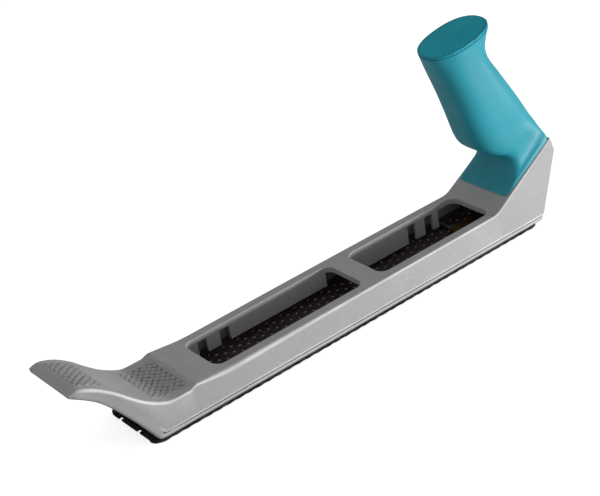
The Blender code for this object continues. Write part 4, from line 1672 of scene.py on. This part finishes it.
@dataclass(frozen=True)
class ScrewHead:
    """A domed screw head."""

    radius: float
    height: float
    edge: float
    shoulder: float
    crown: float
    steps: int

    def profile(self) -> list[tuple[float, float]]:
        """Pairs of distance from the head's seat and radius."""
        made = [(0.0, self.radius - self.edge), (self.edge, self.radius)]
        for s, c in quarter(self.steps):
            made.append((self.height * (self.shoulder + (1 - self.shoulder) * s),
                         self.radius * (self.crown + (1 - self.crown) * c)))
        return made


@dataclass
class TensionGear:
    """The hook, nut, screw and washer that stretch the blade."""

    hook_headroom: float = 1.0
    hook_drop: float = 1.5
    hook_bend: float = 1.7
    nut_thickness: float = 4.0
    head: ScrewHead = ScrewHead(4.6, 3.2, 0.25, 0.55, 0.3, 6)
    slot_width: float = 1.2
    slot_depth: float = 1.4
    strap_edge: float = 0.25
    bend_limit: float = 0.9
    bend_steps: int = 6
    nut_corner: float = 0.7
    nut_segments: int = 4
    nut_edge: float = 0.35
    nut_room: float = 1.0

    def strap_line(self) -> list[Row]:
        """The strap's middle line, with round bends.

        Returns:
            Points along the line.
        """
        tab = LAYOUT.rear_pin - LAYOUT.pin_radius - LAYOUT.gap - LAYOUT.strap / 2
        back = LAYOUT.hook_back - LAYOUT.strap / 2
        level = LAYOUT.strap_z + LAYOUT.strap / 2
        foot = LAYOUT.pin_z - self.hook_drop
        top = LAYOUT.nut_z + LAYOUT.nut_size + self.hook_headroom
        low, middle, high = (self.hook_bend / span for span in (level - foot, back - tab, top - level))
        shares = ((min(self.bend_limit, low), middle), (middle, high))
        return eased([(tab, foot), (tab, level), (back, level), (back, top)], shares, self.bend_steps)

    def build_hook(self) -> None:
        """Makes the hook from a bent strap."""
        line = [flat(x, z) for x, z in self.strap_line()]
        half, thick, edge = LAYOUT.strap_width / 2, LAYOUT.strap / 2, self.strap_edge
        profile = ((-half, thick - edge), (-half + edge, thick), (half - edge, thick), (half, thick - edge),
                   (half, edge - thick), (half - edge, -thick), (edge - half, -thick), (-half, edge - thick))
        rings = []
        for i, point in enumerate(line):
            run = (line[min(i + 1, len(line) - 1)] - line[max(i - 1, 0)]).normalized()
            out = flat(-run.z, run.x)
            rings.append([point + ACROSS * y + out * z for y, z in profile])
        bore = self.bore(LAYOUT.hook_back, -2 * LAYOUT.strap, LAYOUT.strap)
        piece = Piece("hook_strap", Body.HOOK, Slot.ZINC, SHADED_ZINC_PLATING, "tension_hook")
        piece.make(Shape().skin(rings), bore)

    def bore(self, x: float, low: float, high: float) -> list[tuple[Operation, Shape]]:
        """The cutter for the tension screw's hole in a piece.

        Args:
            x: Where the cut is measured from.
            low: Where it starts.
            high: Where it ends.

        Returns:
            The operation with its tool.
        """
        radius = LAYOUT.tension_radius + LAYOUT.gap
        tool = Shape().turned(flat(x, LAYOUT.screw_z), ALONG, ((low, radius), (high, radius)))
        return [(Operation.CUT, tool)]

    def build_nut(self) -> None:
        """Makes the square nut with its eased corners."""
        back = LAYOUT.hook_back - LAYOUT.strap - LAYOUT.gap
        half, edge, thick = LAYOUT.nut_size / 2, self.nut_edge, self.nut_thickness
        rings = []
        for along, inset in ((0.0, edge), (edge, 0.0), (thick - edge, 0.0), (thick, edge)):
            reach = half - inset
            plan = rounded_plan((-reach, -reach), (reach, reach), self.nut_corner, self.nut_segments)
            rings.append([Vector((back - along, y, LAYOUT.screw_z + z)) for y, z in plan])
        bore = self.bore(back, -2 * thick, self.nut_room)
        piece = Piece("square_nut", Body.HOOK, Slot.STEEL, PLATED_STEEL, "tension_nut")
        piece.make(Shape().skin(rings), bore)

    def build_screw(self) -> None:
        """Makes the slotted head of the tension screw."""
        place = flat(LAYOUT.tension_seat + LAYOUT.washer_thickness + 2 * LAYOUT.gap, LAYOUT.screw_z)
        shape = Shape().turned(place, ALONG, self.head.profile())
        crown = place + ALONG * self.head.height
        reach = Vector((self.slot_depth, 2 * self.head.radius, self.slot_width / 2))
        slot = Shape().box(crown - reach, crown + reach)
        piece = Piece("slotted_screw", Body.SCREW, Slot.STEEL, PLATED_STEEL, "tension_screw", SCREW_CRISP)
        piece.make(shape, [(Operation.CUT, slot)])

    def build_washer(self) -> None:
        """Makes the washer under the tension screw's head."""
        place = flat(LAYOUT.tension_seat + LAYOUT.gap, LAYOUT.screw_z)
        shape = washer(place, ALONG, LAYOUT.tension_radius, LAYOUT.tension_washer)
        Piece("seat_washer", Body.FRAME, Slot.STEEL, PLATED_STEEL, "tension_washer").make(shape)

    def build(self) -> None:
        """Makes the whole gear."""
        self.build_hook()
        self.build_nut()
        self.build_screw()
        self.build_washer()


def washer(place: Vector, axis: Vector, shank: float, outer: float, edge: float = 0.18) -> Shape:
    """A flat washer with eased edges.

    Args:
        place: The middle of its first face.
        axis: Direction through it.
        shank: Radius of the screw in it.
        outer: Its outer radius.
        edge: Size of its eased edges.

    Returns:
        The drawn washer.
    """
    thick, inner = LAYOUT.washer_thickness, shank + LAYOUT.gap
    profile = ((0.0, inner), (0.0, outer - edge), (edge, outer), (thick - edge, outer), (thick, outer - edge),
               (thick, inner))
    return Shape().turned(place, axis, profile, joined=True)


# Handle


@dataclass
class Handle:
    """The moulded handle with its end cap, and the washers and screw heads that hold it to the ramp."""

    front: tuple[Row, ...] = ((10.7, 0.3), (14.8, 1.0), (20.2, 1.9), (24.8, 4.2), (27.4, 8.2),
                              (26.4, 12.6), (22.4, 18.4), (19.7, 25.4), (19.6, 32.0), (21.0, 38.8),
                              (23.4, 48.9), (26.2, 61.3), (28.6, 74.0), (30.1, 82.2), (30.8, 87.3))
    back: tuple[Row, ...] = ((51.0, 0.3), (51.8, 2.4), (52.3, 4.3), (52.8, 6.2), (53.3, 8.1),
                             (53.9, 10.0), (54.5, 12.0), (55.1, 14.5), (55.7, 18.2), (56.2, 24.5),
                             (56.6, 34.7), (56.8, 48.6), (57.0, 60.4), (60.3, 67.2), (68.6, 73.1))
    half: Row = (18.2, 17.6, 16.7, 15.9, 15.4, 15.2, 15.2, 15.2, 15.1, 15.0, 14.8, 14.4, 14.0, 13.8, 13.9)
    square: Row = (14.0, 11.0, 8.5, 6.8, 5.6, 4.7, 4.1, 3.7, 3.4, 3.2, 3.05, 2.9, 2.7, 2.45, 2.3)
    drawn_in: Row = (0.0, 0.0, 0.0, 0.0, 0.0, 0.0, 0.1, 0.3, 0.4, 0.4, 0.5, 0.5, 0.35, 0.1, 0.0)
    wall: float = 3.4
    core_start: int = 8
    foot_edge: float = 0.25
    top_edge: float = 0.2
    pilot_room: float = 2.0
    cap_thickness: float = 1.4
    cap_crown: float = 0.5
    cap_round: float = 0.35
    cap_seam: float = 0.08
    cap_middle: float = 1.0
    cap_rim_steps: int = 4
    cap_steps: int = 8
    cap_rim_rings: tuple[int, int] = (2, 8)
    plug_share: float = 0.7
    steps: int = 6
    points: int = 96
    head: ScrewHead = ScrewHead(3.8, 2.6, 0.2, 0.4, 0.35, 5)
    recess: tuple[Row, ...] = ((0.0, 1.5), (2.4, 0.9))
    recess_room: float = 1.0
    recess_sides: int = 4
    washer: float = 4.2
    grip_crisp: float = 40.0
    cap_crisp: float = 35.0

    def rows(self) -> list[Row]:
        """The given sections as rows of numbers.

        Returns:
            Rows of front and back point, half width, squareness and how far they are drawn in.
        """
        lists = zip(self.front, self.back, self.half, self.square, self.drawn_in)
        return [(*front, *back, half, square, inset) for front, back, half, square, inset in lists]

    def ring(self, row: Row, inset: float = 0.0, lift: float = 0.0) -> Ring:
        """One section of the grip.

        Args:
            row: The section's numbers.
            inset: How far it is drawn in all round.
            lift: How far it is raised square to the grip's end.

        Returns:
            Points round the section.
        """
        *ends, half, square, drawn_in = row
        front, back = LAYOUT.on_ramp(*ends[:2]), LAYOUT.on_ramp(*ends[2:])
        middle, run = (front + back) / 2, (back - front) / 2
        inset += drawn_in
        reach = run.length - inset
        run.normalize()
        up = flat(-run.z, run.x)
        half -= inset
        ring = []
        for i in range(self.points):
            c, s = squarish(2 * math.pi * i / self.points, square)
            ring.append(middle + run * (c * reach) + up * lift + ACROSS * (s * half))
        return ring

    def build_grip(self) -> None:
        """Makes the hollow grip."""
        rows = spline(self.rows(), self.steps)
        core = spline(self.rows()[self.core_start:], self.steps)
        rings = [self.ring(rows[0], self.foot_edge)] + [self.ring(row) for row in rows[:-1]]
        rings += [self.ring(rows[-1], 0.0, -self.top_edge), self.ring(rows[-1], self.top_edge)]
        rings += [self.ring(row, self.wall) for row in reversed(core)]
        pilots = handle_screw_holes(-LAYOUT.deck_thickness, LAYOUT.handle_screw_bite + self.pilot_room)
        piece = Piece("grip_shell", Body.FRAME, Slot.TEAL, TEAL_GRIP, "handle_grip", self.grip_crisp)
        piece.make(Shape().skin(rings), pilots)

    def build_cap(self) -> None:
        """Makes the end cap with its plug."""
        rows = self.rows()
        top, low = rows[-1], self.cap_seam
        high, edge = LAYOUT.gap + self.cap_thickness, self.cap_round
        fit = self.wall + 2 * LAYOUT.gap
        rings = [self.ring(mix_rows(rows[-1], rows[-2], self.plug_share), fit), self.ring(top, fit, low),
                 self.ring(top, edge, low), self.ring(top, 0.0, low + edge), self.ring(top, 0.0, high - edge)]
        for s, c in quarter(self.cap_rim_steps)[1:]:
            rings.append(self.ring(top, edge * (1 - c), high - edge * (1 - s)))
        for step in range(1, self.cap_steps + 1):
            share = step / self.cap_steps
            inset = edge + (self.half[-1] - self.cap_middle - edge) * share
            rings.append(self.ring(top, inset, high + self.cap_crown * math.sin(math.pi / 2 * share)))
        first, last = self.cap_rim_rings
        shape = Shape().skin(rings)
        shape.mask(SHADE_AND_BAND_MASK, lambda number, place: float(first <= number // self.points <= last))
        Piece("grip_cap", Body.FRAME, Slot.DARK_TEAL, LIGHTENED_TEAL_CAP, "handle_end_cap", self.cap_crisp).make(shape)

    def build_fixings(self) -> None:
        """Makes the two washers and screw heads under the ramp."""
        out = LAYOUT.ramp_out
        for name, side in LAYOUT.handle_screw_sides:
            under = LAYOUT.on_ramp(LAYOUT.handle_screw_along, -LAYOUT.deck_thickness - LAYOUT.gap, side)
            node = "handle_washer_" + name
            ring = Piece("fixing_washer_" + name, Body.FRAME, Slot.STEEL, PLATED_STEEL, node)
            ring.make(washer(under, -out, LAYOUT.handle_screw_radius, self.washer))
            place = under - out * (LAYOUT.washer_thickness + LAYOUT.gap)
            head = Shape().turned(place, -out, self.head.profile())
            start = place - out * (self.head.height + self.recess_room)
            cross = Shape().turned(start, out, self.recess, self.recess_sides)
            screw = replace(ring, name="fixing_screw_" + name, node="handle_screw_" + name, crisp=SCREW_CRISP)
            screw.make(head, [(Operation.CUT, cross)])

    def build(self) -> None:
        """Makes the whole handle."""
        self.build_grip()
        self.build_cap()
        self.build_fixings()


# Studio


@dataclass(frozen=True)
class Lamp:
    """A soft lamp: where it stands, what it points at, its size and its power."""

    name: str
    place: Row
    aim: Row
    size: Row
    power: float

    def light(self) -> None:
        """Puts the lamp in the scene."""
        data = bpy.data.lights.new(self.name, "AREA")
        data.shape = "RECTANGLE"
        data.size, data.size_y = self.size
        data.energy = self.power
        obj = add_object(self.name, data)
        obj.location = self.place
        obj.rotation_euler = (Vector(self.aim) - Vector(self.place)).to_track_quat("-Z", "Y").to_euler()


@dataclass(frozen=True)
class Studio:
    """Floor, lamps, surroundings and camera."""

    picture_width: int = 600
    focal_pixels: float = 1657.21
    sensor: float = 36.0
    eye: Row = (-0.39344, -0.59308, 0.43983)
    azimuth: float = math.radians(-33.1542)
    elevation: float = math.radians(29.1085)
    roll: float = math.radians(-10.6262)
    clip_start: float = 0.01
    floor_half: float = 6.0
    floor_segments: int = 8
    floor_colour: Row = (0.86, 0.86, 0.86, 1.0)
    floor_roughness: float = 0.9
    white: Row = (1.0, 1.0, 1.0, 1.0)
    floor_glow: float = 0.74
    # A painted shadow under the tool: the floor's glow drops inside this box.
    shadow_glow: float = 0.04
    shadow_half: Row = (0.124, 0.023)
    shadow_edge: float = 0.004
    shadow_middle: Row = (0.008, 0.003)
    ambient: float = 0.44
    lamps: tuple[Lamp, ...] = (
        Lamp("front_softbox", (0.52, -0.62, 0.047), (0.02, 0.0, 0.02), (0.5, 0.055), 5.7),
    )

    def seen(self, sheet: NodeSheet) -> Socket:
        """Whether a ray shows the surroundings to the camera, straight or through glass.

        Args:
            sheet: The nodes to add to.

        Returns:
            The value's socket.
        """
        path = sheet.node("ShaderNodeLightPath")
        return sheet.maths("MAXIMUM", path.outputs["Is Camera Ray"], path.outputs["Is Transmission Ray"])

    def build_world(self) -> None:
        """Makes the white surroundings."""
        world = bpy.data.worlds.new("white_studio")
        bpy.context.scene.world = world
        world.use_nodes = True
        sheet = NodeSheet(world.node_tree)
        back = world.node_tree.nodes["Background"]
        sheet.feed(back, "Color", self.white)
        sheet.feed(back, "Strength", sheet.spread(self.seen(sheet), 0.0, 1.0, self.ambient, 1.0))

    def glow(self, sheet: NodeSheet) -> Socket:
        """How bright the floor is to the eye: white, with a painted shadow right under the tool where its
        glow drops.

        Args:
            sheet: The nodes to add to.

        Returns:
            The value's socket.
        """
        parts = sheet.node("ShaderNodeSeparateXYZ")
        sheet.wire(sheet.node("ShaderNodeTexCoord").outputs["Object"], parts.inputs[0])
        shade = None
        for axis, half, middle in zip((0, 1), self.shadow_half, self.shadow_middle):
            away = sheet.maths("ABSOLUTE", sheet.maths("SUBTRACT", parts.outputs[axis], middle))
            inside = sheet.spread(away, half, half - self.shadow_edge)
            shade = sheet.maths("MULTIPLY", shade, inside) if shade else inside
        return sheet.spread(shade, 0.0, 1.0, self.floor_glow, self.shadow_glow)

    def build_floor(self) -> None:
        """Makes the pale floor: white to the eye from above, with the tool's shadow and a painted shadow
        under it, and clear from below.
        """
        mesh = bmesh.new()
        bmesh.ops.create_grid(mesh, x_segments=self.floor_segments, y_segments=self.floor_segments,
                              size=self.floor_half)
        data = bpy.data.meshes.new("studio_floor")
        mesh.to_mesh(data)
        mesh.free()
        material = bpy.data.materials.new("pale_floor")
        material.use_nodes = True
        sheet = NodeSheet(material.node_tree)
        from_below = sheet.node("ShaderNodeNewGeometry").outputs["Backfacing"]
        given = {
            "Base Color": self.floor_colour,
            "Roughness": self.floor_roughness,
            "Specular IOR Level": 0.0,
            "Emission Color": self.white,
            "Emission Strength": sheet.maths("MULTIPLY", self.seen(sheet), self.glow(sheet)),
            "Alpha": sheet.maths("SUBTRACT", 1.0, from_below),
        }
        for name, value in given.items():
            sheet.feed(material.node_tree.nodes["Principled BSDF"], name, value)
        data.materials.append(material)
        add_object("studio_floor", data)

    def build_camera(self) -> None:
        """Puts the camera where the photograph was taken from."""
        level = math.cos(self.elevation)
        back = Vector((math.sin(self.azimuth) * level, -math.cos(self.azimuth) * level,
                       math.sin(self.elevation)))
        right = (-back).cross(Vector((0.0, 0.0, 1.0))).normalized()
        up = back.cross(right)
        c, s = math.cos(self.roll), math.sin(self.roll)
        right, up = right * c + up * s, up * c - right * s
        data = bpy.data.cameras.new("camera")
        data.sensor_width = self.sensor
        data.lens = self.focal_pixels / self.picture_width * self.sensor
        data.clip_start = self.clip_start
        camera = add_object("camera", data)
        camera.matrix_world = Matrix.Translation(self.eye) @ Matrix((right, up, back)).transposed().to_4x4()
        bpy.context.scene.camera = camera

    def build(self) -> None:
        """Makes the whole studio."""
        bpy.context.scene.view_settings.view_transform = "Standard"
        self.build_world()
        self.build_floor()
        for lamp in self.lamps:
            lamp.light()
        self.build_camera()


def main() -> None:
    """Builds every piece in order."""
    logging.basicConfig(level=logging.INFO, format="%(name)s %(message)s")
    Studio().build()
    casting = BodyCasting()
    casting.build()
    for name, start, end, half in TOE_PADS:
        ToeHatch(name, casting.upper_line, start, end, half).build()
    RaspBlade().build()
    TensionGear().build()
    Handle().build()


if __name__ == "__main__":
    main()
